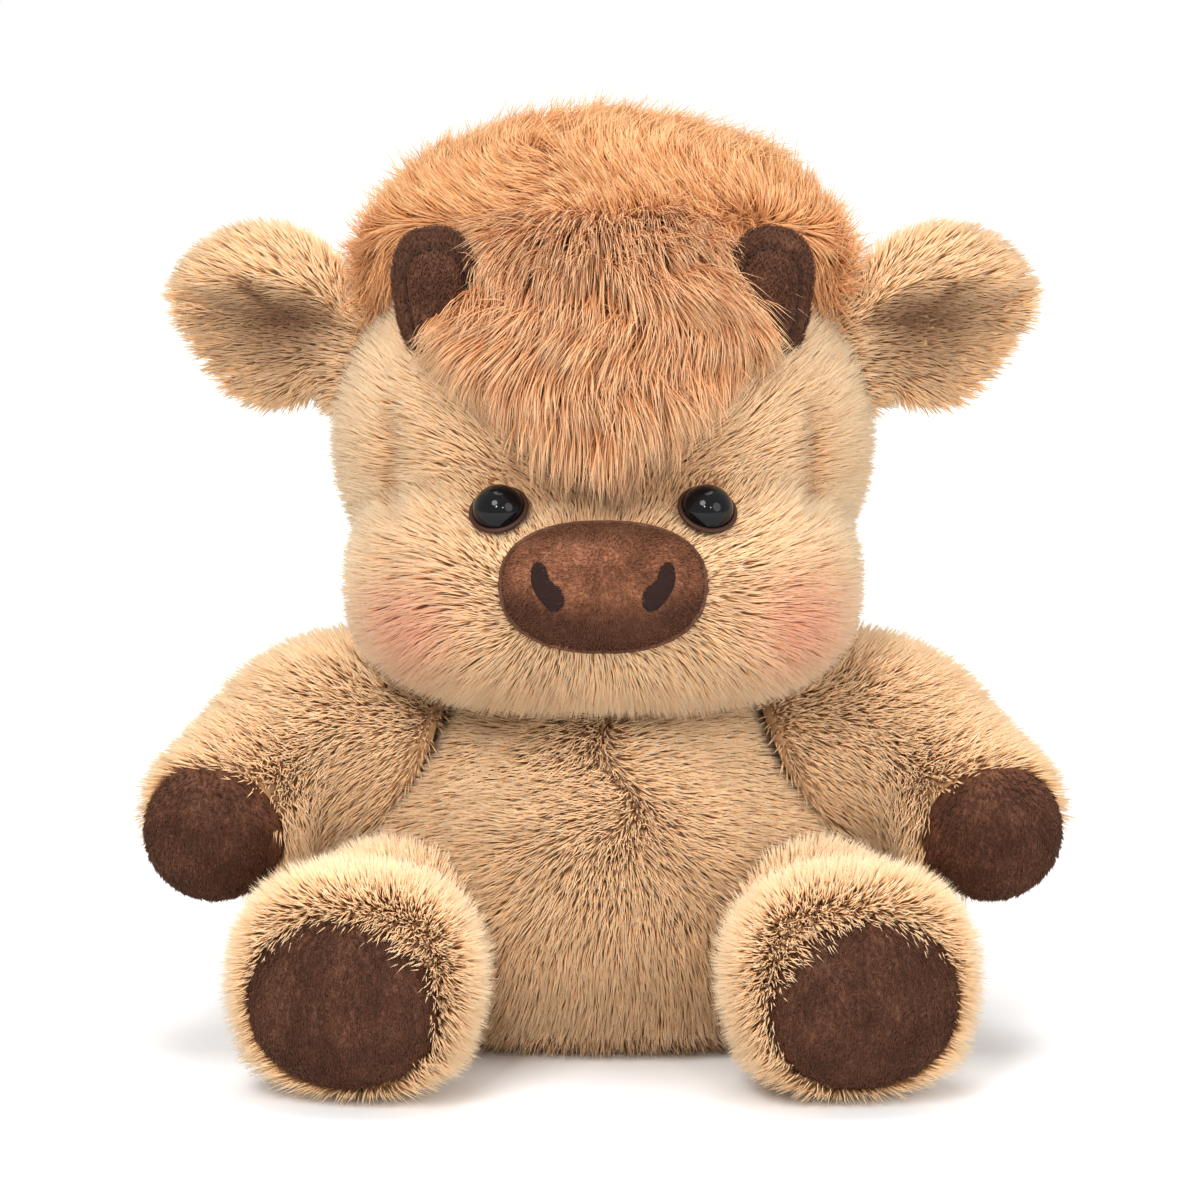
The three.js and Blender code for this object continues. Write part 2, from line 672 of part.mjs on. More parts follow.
const earLining = dish(-sewnGap).subtract(dish(-sewnGap - liningThickness));
addPair("ear", "_lining", earLining.intersect(earWhole), furInside);
const earRecess = (turn) => pairOf(
  earSkin(turnGap + sewnGap)
    .applyMatrix4(new THREE.Matrix4().makeRotationZ(turn)), earPlace);

// Horns, planted on the slope of the brow

const hornMiddle = vec(hornSpacing / 2, -hornForward, skullMiddle.z + hornRise);
const hornUp = vec(Math.sin(hornLean), 0, Math.cos(hornLean));
const hornTurn = new THREE.Quaternion().setFromUnitVectors(zAxis, hornUp);
const hornHalf = vec(hornWidth, hornDepth, hornHeight).divideScalar(2);
const hornForm = roundForm(hornMiddle, hornHalf, hornPower, hornTurn);
const hornSkin = (grow) => skin(hornForm, hornMiddle, grow, detailSegments, detailRings, hornUp);
addPair("horn", "", solid(hornSkin(0)).subtract(headSkin(sewnGap)), shortPlush);

// Long hair on the crown and over the brow

const tuftMiddle = vec(0, tuftBack, skullMiddle.z + tuftRise);
const tuftForm = roundForm(tuftMiddle, vec(tuftWidth, tuftDepth, tuftHeight).divideScalar(2));
const tuftSkin = (grow) => solid(skin(tuftForm, tuftMiddle, grow, noseSegments, detailRings));
let crownTuft = tuftSkin(0).subtract(headSkin(sewnGap)).subtract(pairOf(hornSkin(sewnGap)));
for (const turn of [-earTurn, earTurn]) crownTuft = crownTuft.subtract(earRecess(turn));
toy.add(meshOf("crown_tuft", crownTuft, longHair));

const forelockHeight = forelockTop + forelockTip;
const forelockBends = curvedOutline(
  forelockShares.map(([x, y]) => [(x * forelockWidth) / 2, y * forelockHeight]));
const forelockBar = new THREE.ExtrudeGeometry(
  forelockBends, { depth: skullDepth, bevelEnabled: false, curveSegments: bendSteps })
  .rotateX(Math.PI / 2).translate(0, -forelockFront, skullMiddle.z - forelockTip);
toy.add(meshOf("forelock", headSkin(forelockThickness).intersect(solid(forelockBar))
  .subtract(headSkin(sewnGap)).subtract(tuftSkin(sewnGap)).subtract(pairOf(hornSkin(sewnGap)))
  .subtract(noseSkin(turnGap)), longHair));

// Head

const headInside = (grow) => solid(skin(headForm, headCore, grow, innerSegments, innerRings));
const noseRoom = noseSkin(sewnGap + backing).subtract(headSkin(-padThickness - sewnGap - backing));
const headCavity = headInside(-cover).subtract(neckDome(turnGap + cover)).add(pairOf(washerPocket, eyePlace));
let headCover = headSkin(0).subtract(headCavity).subtract(neckDome(turnGap))
  .subtract(neckBar(neckHole, neckTop - chestHeight / 4, neckTop + 2 * overrun))
  .subtract(noseRecess).subtract(pairOf(eyeBore, eyePlace));
for (const turn of [-earTurn, earTurn]) headCover = headCover.subtract(earRecess(turn));
toy.add(meshOf("head_cover", headCover, fur));
toy.add(meshOf("head_filling", headInside(-cover - sewnGap)
  .subtract(neckDome(turnGap + cover + sewnGap)).subtract(noseRoom)
  .subtract(pairOf(washerRoom, eyePlace)), fibre));

export default toy;
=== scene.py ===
# A seated plush cow: stuffed fur covers sewn into a torso, a head, ears, arms, legs and a tail, with
# long hair on the crown and over the brow, short-nap horns, nose and pads, and glossy safety eyes.
# Sizes are in millimetres until a mesh is made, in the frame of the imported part.
import math
from functools import partial

import bmesh
import bpy
import numpy as np
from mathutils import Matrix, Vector
from mathutils.bvhtree import BVHTree


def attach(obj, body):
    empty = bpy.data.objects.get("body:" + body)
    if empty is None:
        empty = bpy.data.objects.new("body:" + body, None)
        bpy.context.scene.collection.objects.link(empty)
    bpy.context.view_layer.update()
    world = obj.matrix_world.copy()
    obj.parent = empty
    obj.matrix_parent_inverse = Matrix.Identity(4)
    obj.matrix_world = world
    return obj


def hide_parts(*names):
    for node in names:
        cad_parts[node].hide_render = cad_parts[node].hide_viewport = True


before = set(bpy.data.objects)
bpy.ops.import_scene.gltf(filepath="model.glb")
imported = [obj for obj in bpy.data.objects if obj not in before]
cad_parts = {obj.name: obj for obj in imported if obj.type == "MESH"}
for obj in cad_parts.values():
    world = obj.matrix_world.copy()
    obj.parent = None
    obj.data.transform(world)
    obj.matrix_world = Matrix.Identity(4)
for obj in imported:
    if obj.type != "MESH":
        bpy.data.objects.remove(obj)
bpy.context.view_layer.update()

# Torso cover.
# One knitted cover with standing pile, stuffed with fibre over a pellet bag, so that it swells
# at the belly and sits flat. The head, arms, legs and tail are sewn to it.
MM = 0.001
PILE_LENGTH = 9.5
CLOTH_DEPTH = 7.0
FUR_DENSITY = 2.15
SIT_HEIGHT = 20.0
SIT_LOW = 2.0
LEAST_HEIGHT = 0.3
ARM_SEAM = 33.0
SEAM_GATHER = 9.0
SEAM_SWELL = 3.5


def at(*numbers):
    return np.array(numbers, float)


def length(vectors):
    return np.linalg.norm(vectors, axis=-1)


def unit(vectors):
    return vectors / np.maximum(np.linalg.norm(vectors, axis=-1, keepdims=True), 1e-9)


def graded(values, none, full):
    """The share from 0 to 1 that values have come on the way from none to full."""
    return np.clip((values - none) / (full - none), 0, 1)


def round_form(centre, size, power=2.0, axes=np.eye(3)):
    """How far points lie outside a stuffed round form of that overall size."""
    def field(points):
        local = (points - centre) @ axes.T
        reach = (np.abs(local / (size / 2)) ** power).sum(-1) ** (1 / power)
        return length(local) * (1 - 1 / np.maximum(reach, 1e-9))
    return field


def limb_form(start, end, start_width, end_width):
    """How far points lie outside a stuffed limb between two places."""
    run = end - start

    def field(points):
        share = np.clip(((points - start) @ run) / (run @ run), 0, 1)
        off_axis = length(points - (start + share[..., None] * run))
        return off_axis - (start_width + (end_width - start_width) * share) / 2
    return field


def sewn_together(forms, roundness):
    """Forms that melt into each other, as one stuffed cover does."""
    def field(points):
        found = forms[0](points)
        for form in forms[1:]:
            other = form(points)
            share = np.maximum(roundness - np.abs(found - other), 0) / roundness
            found = np.minimum(found, other) - share * share * roundness / 4
        return found
    return field


def slope(form, points, step=0.5):
    """The outward direction of a form at points."""
    return unit(np.stack([form(points + move) - form(points - move) for move in np.eye(3) * step], -1))


def surface_along(form, starts, ways, level, nearest, farthest, halvings):
    """Where rays from inside a form reach a level of it."""
    low, high = np.full(len(ways), nearest), np.full(len(ways), farthest)
    for _ in range(halvings):
        middle = (low + high) / 2
        outside = form(starts + ways * middle[:, None]) > level
        low, high = np.where(outside, low, middle), np.where(outside, middle, high)
    return starts + ways * low[:, None]


def stuffed_shape(form, inside, level, detail):
    """Points, faces and outward directions of a form's closed surface round a point inside it."""
    ball = bmesh.new()
    bmesh.ops.create_icosphere(ball, subdivisions=detail, radius=1)
    ways = unit(np.array([v.co for v in ball.verts], float))
    faces = [[v.index for v in face.verts] for face in ball.faces]
    ball.free()
    points = surface_along(form, inside, ways, level, nearest=0.0, farthest=260.0, halvings=34)
    return points, faces, slope(form, points)


def left_half(points):
    """Points of the right half laid over the left half."""
    return np.stack([np.abs(points[:, 0]), points[:, 1], points[:, 2]], -1)


def settled(points):
    """The underside of a cover pressed towards the floor by the toy's weight."""
    sat = points.copy()
    z = points[:, 2]
    pressed = SIT_HEIGHT - (SIT_HEIGHT - z) * (SIT_HEIGHT - SIT_LOW) / (SIT_HEIGHT - CLOTH_DEPTH + 1)
    sat[:, 2] = np.where(z < SIT_HEIGHT, np.maximum(pressed, SIT_LOW), z)
    return sat


def placed(name, data):
    """A new object in the scene."""
    made = bpy.data.objects.new(name, data)
    bpy.context.scene.collection.objects.link(made)
    return made


def piece(name, points, faces, material):
    """A smooth mesh object made from points in millimetres."""
    mesh = bpy.data.meshes.new(name)
    mesh.from_pydata((points * MM).tolist(), [], faces)
    mesh.materials.append(material)
    mesh.shade_smooth()
    return placed(name, mesh)


def covered_by(points, nodes, past=1e-6):
    """Which points lie in the stuff of CAD nodes, by how often a ray from them crosses a surface."""
    hidden = np.zeros(len(points), bool)
    way = Vector((0.311, 0.853, 0.419)).normalized()
    for name in nodes:
        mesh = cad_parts[name].data
        corners = np.array([v.co for v in mesh.vertices], float)
        low, high = corners.min(0), corners.max(0)
        tree = BVHTree.FromPolygons(corners.tolist(), [p.vertices for p in mesh.polygons])
        near = ((points * MM > low) & (points * MM < high)).all(1)
        for i in np.nonzero(near)[0]:
            crossed, hit = 0, tree.ray_cast(Vector(points[i] * MM), way)[0]
            while hit is not None:
                crossed, hit = crossed + 1, tree.ray_cast(hit + way * past, way)[0]
            hidden[i] |= crossed % 2 == 1
    return hidden


def tint(red, green, blue):
    """A colour as it is seen on the toy, ready for a shader."""
    shares = [c / 255 for c in (red, green, blue)]
    return tuple(s / 12.92 if s < 0.04045 else ((s + 0.055) / 1.055) ** 2.4 for s in shares) + (1.0,)


def node(tree, kind, wires=None, **settings):
    """A node with its settings, and with values or other nodes' outputs in its sockets."""
    made = tree.nodes.new(kind)
    for name, value in settings.items():
        setattr(made, name, value)
    for socket, value in (wires or {}).items():
        if isinstance(value, bpy.types.NodeSocket):
            tree.links.new(value, made.inputs[socket])
        else:
            made.inputs[socket].default_value = value
    return made


def result(tree, kind, wires=None, **settings):
    """The first output of a new node."""
    return node(tree, kind, wires, **settings).outputs[0]


def maths(tree, operation, first, second=0.0):
    return result(tree, "ShaderNodeMath", {0: first, 1: second}, operation=operation)


def modifier_tree(name, inputs, output):
    """A tree for meshes with inputs of given kinds, and the sockets that bring them in."""
    tree = bpy.data.node_groups.new(name, "GeometryNodeTree")
    for socket, kind in inputs.items():
        tree.interface.new_socket(name=socket, in_out="INPUT", socket_type=f"NodeSocket{kind}")
    tree.interface.new_socket(name=output, in_out="OUTPUT", socket_type="NodeSocketGeometry")
    return tree, node(tree, "NodeGroupInput").outputs


def brushed_coat():
    """The tree that plants bent, tapered hairs on a cover and gathers them into locks."""
    sizes = ("Density", "Length", "Width", "Bend", "Lean", "Lock", "Pull", "Loose")
    counts = ("Segments", "Seed", "Batch", "Batches")
    tree, given = modifier_tree("brushed_coat", {
        "Cover": "Geometry", **dict.fromkeys(sizes, "Float"), **dict.fromkeys(counts, "Int"),
        "Finish": "Material"}, "Coat")
    add, subtract, multiply, divide, remainder = (
        partial(maths, tree, kind) for kind in ("ADD", "SUBTRACT", "MULTIPLY", "DIVIDE", "MODULO"))
    put = partial(result, tree)
    position, index = put("GeometryNodeInputPosition"), put("GeometryNodeInputIndex")

    def kept(name, kind="FLOAT"):
        return put("GeometryNodeInputNamedAttribute", {"Name": name}, data_type=kind)

    def store(geometry, name, field, kind="FLOAT", domain="POINT"):
        wires = {"Geometry": geometry, "Name": name, "Value": field}
        return put("GeometryNodeStoreNamedAttribute", wires, data_type=kind, domain=domain)

    def chance(low, high, salt):
        seed = add(given["Seed"], salt)
        return node(tree, "FunctionNodeRandomValue", {2: low, 3: high, "Seed": seed}).outputs[1]

    def joined(x, y, z=0.0):
        return put("ShaderNodeCombineXYZ", {0: x, 1: y, 2: z})

    def parts(vector):
        return node(tree, "ShaderNodeSeparateXYZ", {0: vector}).outputs

    def vectors(operation, first, second):
        return put("ShaderNodeVectorMath", {0: first, 1: second}, operation=operation)

    def times(vector, factor):
        return put("ShaderNodeVectorMath", {0: vector, "Scale": factor}, operation="SCALE")

    def moved(geometry, places):
        return put("GeometryNodeSetPosition", {"Geometry": geometry, "Position": places})

    # One hair of unit length along Z, bent towards X, with its height and side kept for the finish
    hair = put("GeometryNodeMeshCone", {
        "Vertices": 3, "Side Segments": given["Segments"], "Radius Top": 0.0,
        "Radius Bottom": multiply(given["Width"], 0.5), "Depth": 1.0}, fill_type="NGON")
    place = parts(position)
    hair = store(store(hair, "along", place["Z"]), "side", divide(place["Y"], given["Width"]))
    fuller = add(1.0, multiply(kept("along"), 1.1))
    bend = multiply(maths(tree, "POWER", kept("along"), 2.0), given["Bend"])
    hair = moved(hair, joined(
        add(multiply(place["X"], fuller), multiply(bend, given["Length"])),
        multiply(place["Y"], fuller), multiply(place["Z"], given["Length"])))

    # Roots spread over the cover, of which this batch keeps its share
    spread = node(tree, "GeometryNodeDistributePointsOnFaces", {
        "Mesh": given["Cover"], "Seed": given["Seed"],
        "Density": multiply(given["Density"], kept("grow"))}).outputs
    turn = remainder(index, given["Batches"])
    other = maths(tree, "GREATER_THAN", maths(tree, "ABSOLUTE", subtract(turn, given["Batch"])), 0.5)
    roots = store(spread["Points"], "out", spread["Normal"], "FLOAT_VECTOR")
    roots = put("GeometryNodeDeleteGeometry", {"Geometry": roots, "Selection": other})

    # Each lock draws its hairs' tips together and gives them a tone of their own
    lock = node(tree, "ShaderNodeTexVoronoi", {
        "Vector": position, "Scale": divide(1.0, given["Lock"]), "Detail": 0.0}).outputs
    tone = add(multiply(parts(lock["Color"])[0], 0.55), chance(0.0, 0.45, 1))
    roots = store(store(roots, "tone", tone), "cell", index)
    inwards = vectors("SUBTRACT", lock["Position"], position)
    inwards = times(inwards, divide(given["Pull"], given["Length"]))
    stray = joined(chance(-1.0, 1.0, 2), chance(-1.0, 1.0, 3), chance(-1.0, 1.0, 4))
    out, comb = kept("out", "FLOAT_VECTOR"), kept("comb", "FLOAT_VECTOR")
    aim = vectors("ADD", out, times(comb, given["Lean"]))
    aim = vectors("ADD", vectors("ADD", aim, inwards), times(stray, given["Loose"]))
    turned = put("FunctionNodeAxesToRotation", {0: aim, 1: comb}, primary_axis="Z", secondary_axis="X")
    width = chance(0.75, 1.25, 5)
    size = joined(width, width, multiply(kept("reach"), chance(0.78, 1.12, 6)))
    planted = put("GeometryNodeInstanceOnPoints", {
        "Points": roots, "Instance": hair, "Rotation": turned, "Scale": size})

    # A square cell of the finish's map for every hair, and hairs that lie on the floor, not in it
    count = node(tree, "GeometryNodeAttributeDomainSize", {0: roots}, component="POINTCLOUD").outputs
    row = maths(tree, "CEIL", maths(tree, "SQRT", count["Point Count"]))
    coat = put("GeometryNodeRealizeInstances", {0: planted})
    column = remainder(kept("cell"), row)
    line = maths(tree, "FLOOR", divide(add(kept("cell"), 0.5), row))
    across = add(0.5, multiply(kept("side"), 0.9))
    up = add(0.05, multiply(kept("along"), 0.9))
    chart = joined(divide(add(maths(tree, "ROUND", column), across), row), divide(add(line, up), row))
    coat = store(coat, "OFBake", chart, "FLOAT2", "CORNER")
    lifted = maths(tree, "MAXIMUM", place["Z"], LEAST_HEIGHT * MM)
    coat = moved(coat, joined(place["X"], place["Y"], lifted))
    coat = put("GeometryNodeSetShadeSmooth", {"Geometry": coat})
    coat = put("GeometryNodeSetMaterial", {"Geometry": coat, "Material": given["Finish"]})
    node(tree, "NodeGroupOutput", {0: coat})
    return tree


coat_tree = brushed_coat()


def grown(tree, data, name, inputs):
    """The plain mesh that a tree makes of a mesh."""
    holder = placed("holder", data)
    growth = holder.modifiers.new("growth", "NODES")
    growth.node_group = tree
    for item in tree.interface.items_tree:
        if item.in_out == "INPUT" and item.name in inputs:
            growth[item.identifier] = inputs[item.name]
    graph = bpy.context.evaluated_depsgraph_get()
    mesh = bpy.data.meshes.new_from_object(holder.evaluated_get(graph), depsgraph=graph)
    bpy.data.objects.remove(holder)
    mesh.name = name
    return mesh


def grow_coat(name, cover, finish, body, slot, batches=1, seed=1, **sizes):
    """Hair on a cover, as plain meshes that ride on one body."""
    values = {"Density": FUR_DENSITY, "Length": PILE_LENGTH, "Width": 0.62, "Bend": 0.15, "Lean": 0.5,
              "Lock": 3.0, "Pull": 0.5, "Loose": 0.2, "Segments": 1, **sizes}
    values["Density"] /= MM * MM
    for key in ("Length", "Width", "Lock"):
        values[key] *= MM
    for batch in range(batches):
        mesh = grown(coat_tree, cover.data, name if batches == 1 else f"{name}_{batch + 1}", {
            **values, "Seed": seed, "Batch": batch, "Batches": batches, "Finish": finish})
        for extra in ("cell", "side", "out", "comb", "grow", "reach"):
            if extra in mesh.attributes:
                mesh.attributes.remove(mesh.attributes[extra])
        coat = placed(mesh.name, mesh)
        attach(coat, body)


def brush(cover, comb, grow=1.0, reach=1.0, shade=0.0, blush=0.0):
    """Keeps on a cover how its hair is combed, how much and how long it grows, and its colour."""
    mesh = cover.data
    for name, numbers in (("grow", grow), ("reach", reach), ("shade", shade), ("blush", blush)):
        kept = mesh.attributes.new(name, "FLOAT", "POINT")
        spread = np.broadcast_to(np.asarray(numbers, np.float32), len(mesh.vertices))
        kept.data.foreach_set("value", spread.copy())
    kept = mesh.attributes.new("comb", "FLOAT_VECTOR", "POINT")
    kept.data.foreach_set("vector", np.asarray(comb, np.float32).reshape(-1))


def along_surface(ways, normals):
    """Directions laid flat on a surface."""
    return ways - (ways * normals).sum(-1, keepdims=True) * normals


def sway(points, broad, fine, turns=(0.0, 1.0)):
    """Uneven combing over a cover: a broad and a fine wave, each with its strength and its length."""
    return (broad[0] * np.sin(points[:, [1, 2, 0]] / broad[1] + turns[0])
            + fine[0] * np.sin(points[:, [2, 0, 1]] / fine[1] + turns[1]))


def near_floor(comb, points, normals, spread=1.6, lift=0.9):
    """Hair on the underside spreads outwards along the floor."""
    share = graded(points[:, 2], 16, 4)[:, None]
    flat = unit(normals * at(1, 1, 0) + 1e-6)
    return unit(comb) * (1 - share) + (flat * spread - normals * at(0, 0, lift)) * share


def new_finish(name):
    """A material and its empty tree."""
    material = bpy.data.materials.new(name)
    material.use_nodes = True
    material.node_tree.nodes.clear()
    return material, material.node_tree


def surface(tree, wires):
    """Ends a material's tree in one principled surface."""
    node(tree, "ShaderNodeOutputMaterial", {0: result(tree, "ShaderNodeBsdfPrincipled", wires)})


def noise(tree, scale, detail=2.0, roughness=0.5):
    """Unevenness fixed to the piece, finer with a larger scale."""
    place = node(tree, "ShaderNodeTexCoord").outputs["Object"]
    return result(tree, "ShaderNodeTexNoise", {
        "Vector": place, "Scale": scale, "Detail": detail, "Roughness": roughness})


def bumps(tree, height, strength, depth):
    """Normals for small relief, its depth in metres."""
    return result(tree, "ShaderNodeBump", {"Height": height, "Strength": strength, "Distance": depth})


def ramp(tree, share, first, last, middle=None, start=0.0, end=1.0):
    """Colours that run from first to last, by way of middle where there is one."""
    made = node(tree, "ShaderNodeValToRGB", {0: share})
    stops = made.color_ramp.elements
    stops[0].position, stops[0].color = start, first
    stops[1].position, stops[1].color = end, last
    if middle:
        stops.new(0.5).color = middle
    return made.outputs[0]


def mixed(tree, factor, first, second, kind="MIX"):
    return node(tree, "ShaderNodeMix", {0: factor, 6: first, 7: second},
                data_type="RGBA", blend_type=kind).outputs[2]


def brushed(tree, name):
    """What brush() or the hair's tree keeps on a mesh under a name."""
    return node(tree, "ShaderNodeAttribute", attribute_name=name).outputs["Fac"]


def pile_finish(name, root, middle, tip, dark):
    """Dyed fibre that is deeper at its root, pale at its tip, and uneven from lock to lock."""
    material, tree = new_finish(name)
    light = result(tree, "ShaderNodeMapRange", {0: brushed(tree, "tone"), 3: 0.80, 4: 1.16})
    grey = result(tree, "ShaderNodeCombineColor", {0: light, 1: light, 2: light})
    colour = mixed(tree, 1.0, ramp(tree, brushed(tree, "along"), root, tip, middle), grey, "MULTIPLY")
    # The shade attribute mixes in the dark colour: painted shade in the darts and the ear cups, a deeper
    # tone elsewhere
    colour = mixed(tree, brushed(tree, "shade"), colour, dark)
    cloud = noise(tree, 55.0, 3.0)
    patch = result(tree, "ShaderNodeMapRange", {0: cloud, 1: 0.35, 2: 0.65, 3: 0.0, 4: 0.16})
    colour = mixed(tree, patch, colour, dark)
    colour = mixed(tree, brushed(tree, "blush"), colour, tint(238, 150, 128))
    surface(tree, {"Base Color": colour, "Roughness": 0.85, "Specular IOR Level": 0.25,
                   "Sheen Weight": 0.35, "Sheen Roughness": 0.5, "Sheen Tint": tip})
    return material


def yarn_finish(name, colour, lit, grain, relief, roughness, gloss):
    """Knitted cloth or thread, with painted shade between its loops; thread is also painted lighter on
    them.
    """
    material, tree = new_finish(name)
    loops = noise(tree, *grain)
    # The low tone is a shaded copy of the colour, painted shade between the loops; the high tone is a
    # lit copy, painted light on thread
    low, high = ([min(c * share, 1) for c in colour[:3]] + [1.0] for share in (0.6, lit))
    surface(tree, {"Base Color": ramp(tree, loops, low, high), "Roughness": roughness,
                   "Specular IOR Level": gloss, "Normal": bumps(tree, loops, *relief)})
    return material


cloth_finish = partial(yarn_finish, lit=1.0, grain=(900.0, 2.0), relief=(0.5, 0.0005), roughness=0.95,
                       gloss=0.1)
thread_finish = partial(yarn_finish, lit=1.5, grain=(2600.0, 1.0), relief=(0.4, 0.0002), roughness=0.75,
                        gloss=0.15)
fur = pile_finish("cream_fur", tint(232, 178, 122), tint(250, 206, 154),
                  tint(255, 234, 200), tint(196, 138, 88))
backing = cloth_finish("fur_backing", tint(226, 182, 134))

belly_middle = at(0, -8, 43.5)
seat = round_form(at(0, -8, 25.5), at(126, 114, 52), 3.0)
belly = round_form(belly_middle, at(138, 120, 88))
chest = round_form(at(0, 0, 66), at(100, 100, 96))
torso_form = sewn_together([seat, belly, chest], 18.0)
points, faces, normals = stuffed_shape(torso_form, belly_middle, -CLOTH_DEPTH, 6)

# The cloth swells where an arm's seam gathers it
from_shoulder = length(left_half(points) - at(56.8, 0, 71))
gather = np.exp(-((from_shoulder - ARM_SEAM) / SEAM_GATHER) ** 2)
points = settled(points + normals * (SEAM_SWELL * gather)[:, None])
torso = piece("torso_cover_cloth", points, faces, backing)

# Hair hangs down and swirls away from one place on the chest, and is thinner underneath
swirl = at(6, -68, 72)
away = unit((points - swirl) * at(1, 0.6, 1)) * 0.5
comb = along_surface(away + sway(points, (0.18, 7.0), (0.15, 4.1)) + at(0, 0, -0.75), normals)
comb = near_floor(comb, points, normals)
hidden = covered_by(points + normals, [
    "head_cover", "arm_left_cover", "arm_right_cover", "leg_left_cover", "leg_right_cover"])
thin = 1 - 0.6 * (normals[:, 2] < -0.6)
brush(torso, comb, grow=~hidden * thin, reach=1 - 0.35 * gather,
      shade=graded(points[:, 2], 75, 15) * 0.28 + 0.08)
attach(torso, "torso")
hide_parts("torso_cover", "torso_filling", "pellet_bag")
grow_coat("torso_fur", torso, fur, "torso", "fur", batches=3, seed=11)

# Head cover.
# A skull gusset and two full cheeks of the same fur, stuffed firm, with a dart above each cheek
# beside the eye. It is sewn to the neck and turns a little there.
DART_PLACE = 51.5
DART_WIDTH = 2.6
DART_DEPTH = 4.0
DART_FOOT, DART_HEAD = 141, 173
EYE_PLACE = at(28, -61.1, 151.6)
EYE_CLEARING = 7.2
BLUSH_PLACE = 48.5
BLUSH_HEIGHT = 119
BLUSH_SPREAD = 8.5
head_core = at(0, 0, 142.75)
skull = round_form(at(0, 5, 160), at(149, 130, 126))
muzzle = round_form(at(0, -28, 125.5), at(140, 96, 68), 2.5)
head_form = sewn_together([skull, muzzle], 9.0)


def above_torso(form, room=1.5):
    """A form's cloth, kept clear of the torso's cloth where the two meet."""
    return lambda points: np.maximum(form(points) + CLOTH_DEPTH, room - CLOTH_DEPTH - torso_form(points))


def dart_share(points):
    """How near points lie to one of the two darts, from 0 to 1."""
    across = (np.abs(points[:, 0]) - DART_PLACE) / DART_WIDTH
    z = points[:, 2]
    along = graded(z, DART_HEAD, DART_HEAD - 6) * graded(z, DART_FOOT, DART_FOOT + 6)
    return np.exp(-across * across) * along * (points[:, 1] < 0)


points, faces, _ = stuffed_shape(above_torso(head_form), head_core, 0.0, 6)
normals = slope(head_form, points)
dart = dart_share(points)
points = points - normals * (DART_DEPTH * dart)[:, None]
head = piece("head_cover_cloth", points, faces, backing)
x, y, z = points.T

# Hair runs away from the nose, falls down at the back and parts along the darts
back = graded(y[:, None], 5, 40)
comb = unit(points - at(0, -72, 131)) * (1 - back)
comb = comb + sway(points, (0.22, 6.0), (0.2, 3.7)) * (1 - 0.6 * back)
comb = unit(along_surface(comb + at(0, 0, 0.1) - at(0, 0, 1.1) * back, normals))
from_dart = np.abs(x) - DART_PLACE
parted = np.exp(-(from_dart / 5) ** 2) * dart_share(points) * (np.sign(from_dart) * np.sign(x)) * 1.2
comb += parted[:, None] * at(1, 0, 0)
hidden = covered_by(points + normals * PILE_LENGTH * 0.8, [
    "torso_cover", "arm_left_cover", "arm_right_cover", "nose_pad",
    "horn_left", "horn_right", "ear_left_back", "ear_right_back"])

# It is trimmed short round the eyes and the nose
eye_gap = length((left_half(points) - EYE_PLACE) * at(1, 0.5, 1))
eye_gap[y > 0] = 99
nose_rim = length((points - at(0, -68, 131)) * at(1 / 29, 0, 1 / 19))
reach = np.clip(0.34 + (eye_gap - 7) / 16, 0.34, 1) * np.clip(0.5 + (nose_rim - 1) * 1.2, 0.55, 1)

# Darker over the brow and on the upper head, painted shade in the darts, and rouge on the cheeks
brow = np.clip(1 - length((points - at(0, -62, 158)) * at(0.028, 0.02, 0.045)), 0, 1)
shade = np.clip(0.05 + brow + dart * 0.6 + 0.14 * (z > 150), 0, 1)
from_cheek = (np.abs(x) - BLUSH_PLACE) ** 2 + (z - BLUSH_HEIGHT) ** 2
blush = 0.62 * np.exp(-from_cheek / (2 * BLUSH_SPREAD ** 2)) * (y < -20)
brush(head, comb, grow=~hidden & (eye_gap > EYE_CLEARING), reach=reach, shade=shade, blush=blush)
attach(head, "head")
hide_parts("head_cover", "head_filling")
grow_coat("head_fur", head, fur, "head", "fur", batches=3, seed=21)

# Crown tuft.
# Long soft hair, sewn in behind the horns, that stands up in a half round and frays at its edge.
CROWN_CORE = 7.0
CROWN_LENGTH = 16.0
crown_middle = at(0, 8, 211)
crown_form = round_form(crown_middle, at(138, 70, 82))
crown_dome = round_form(at(0, 9, 195), at(150, 84, 114))
crown_hair = pile_finish("crown_hair", tint(204, 128, 72), tint(230, 164, 105),
                         tint(253, 208, 156), tint(192, 118, 66))
crown_cloth = cloth_finish("crown_backing", tint(222, 156, 98))
points, faces, normals = stuffed_shape(crown_form, crown_middle, -CROWN_CORE, 5)
crown = piece("crown_tuft_core", points, faces, crown_cloth)
clear = ~covered_by(points + normals * 4, ["horn_left", "horn_right", "ear_left_back", "ear_right_back"])
rooted = clear & (head_form(points + normals * 3) > -2)

# Hair stands away from the middle of the head, and at the front it falls towards the brow
drift = sway(points, (0.4, 7.0), (0.35, 4.3), (0.5, 2.0))
stand = along_surface(unit(points - at(0, 14, 150)) + drift + at(0, 0.001, 0.001), normals) * 1.6
fall = along_surface(at(0, -0.4, -1) + points * at(0.006, 0, 0), normals) * 4.5
front = np.clip(-normals[:, 1] * 1.6 - 0.2, 0, 1) * graded(points[:, 2], 222, 210)
lie = stand * (1 - front[:, None]) + fall * front[:, None]

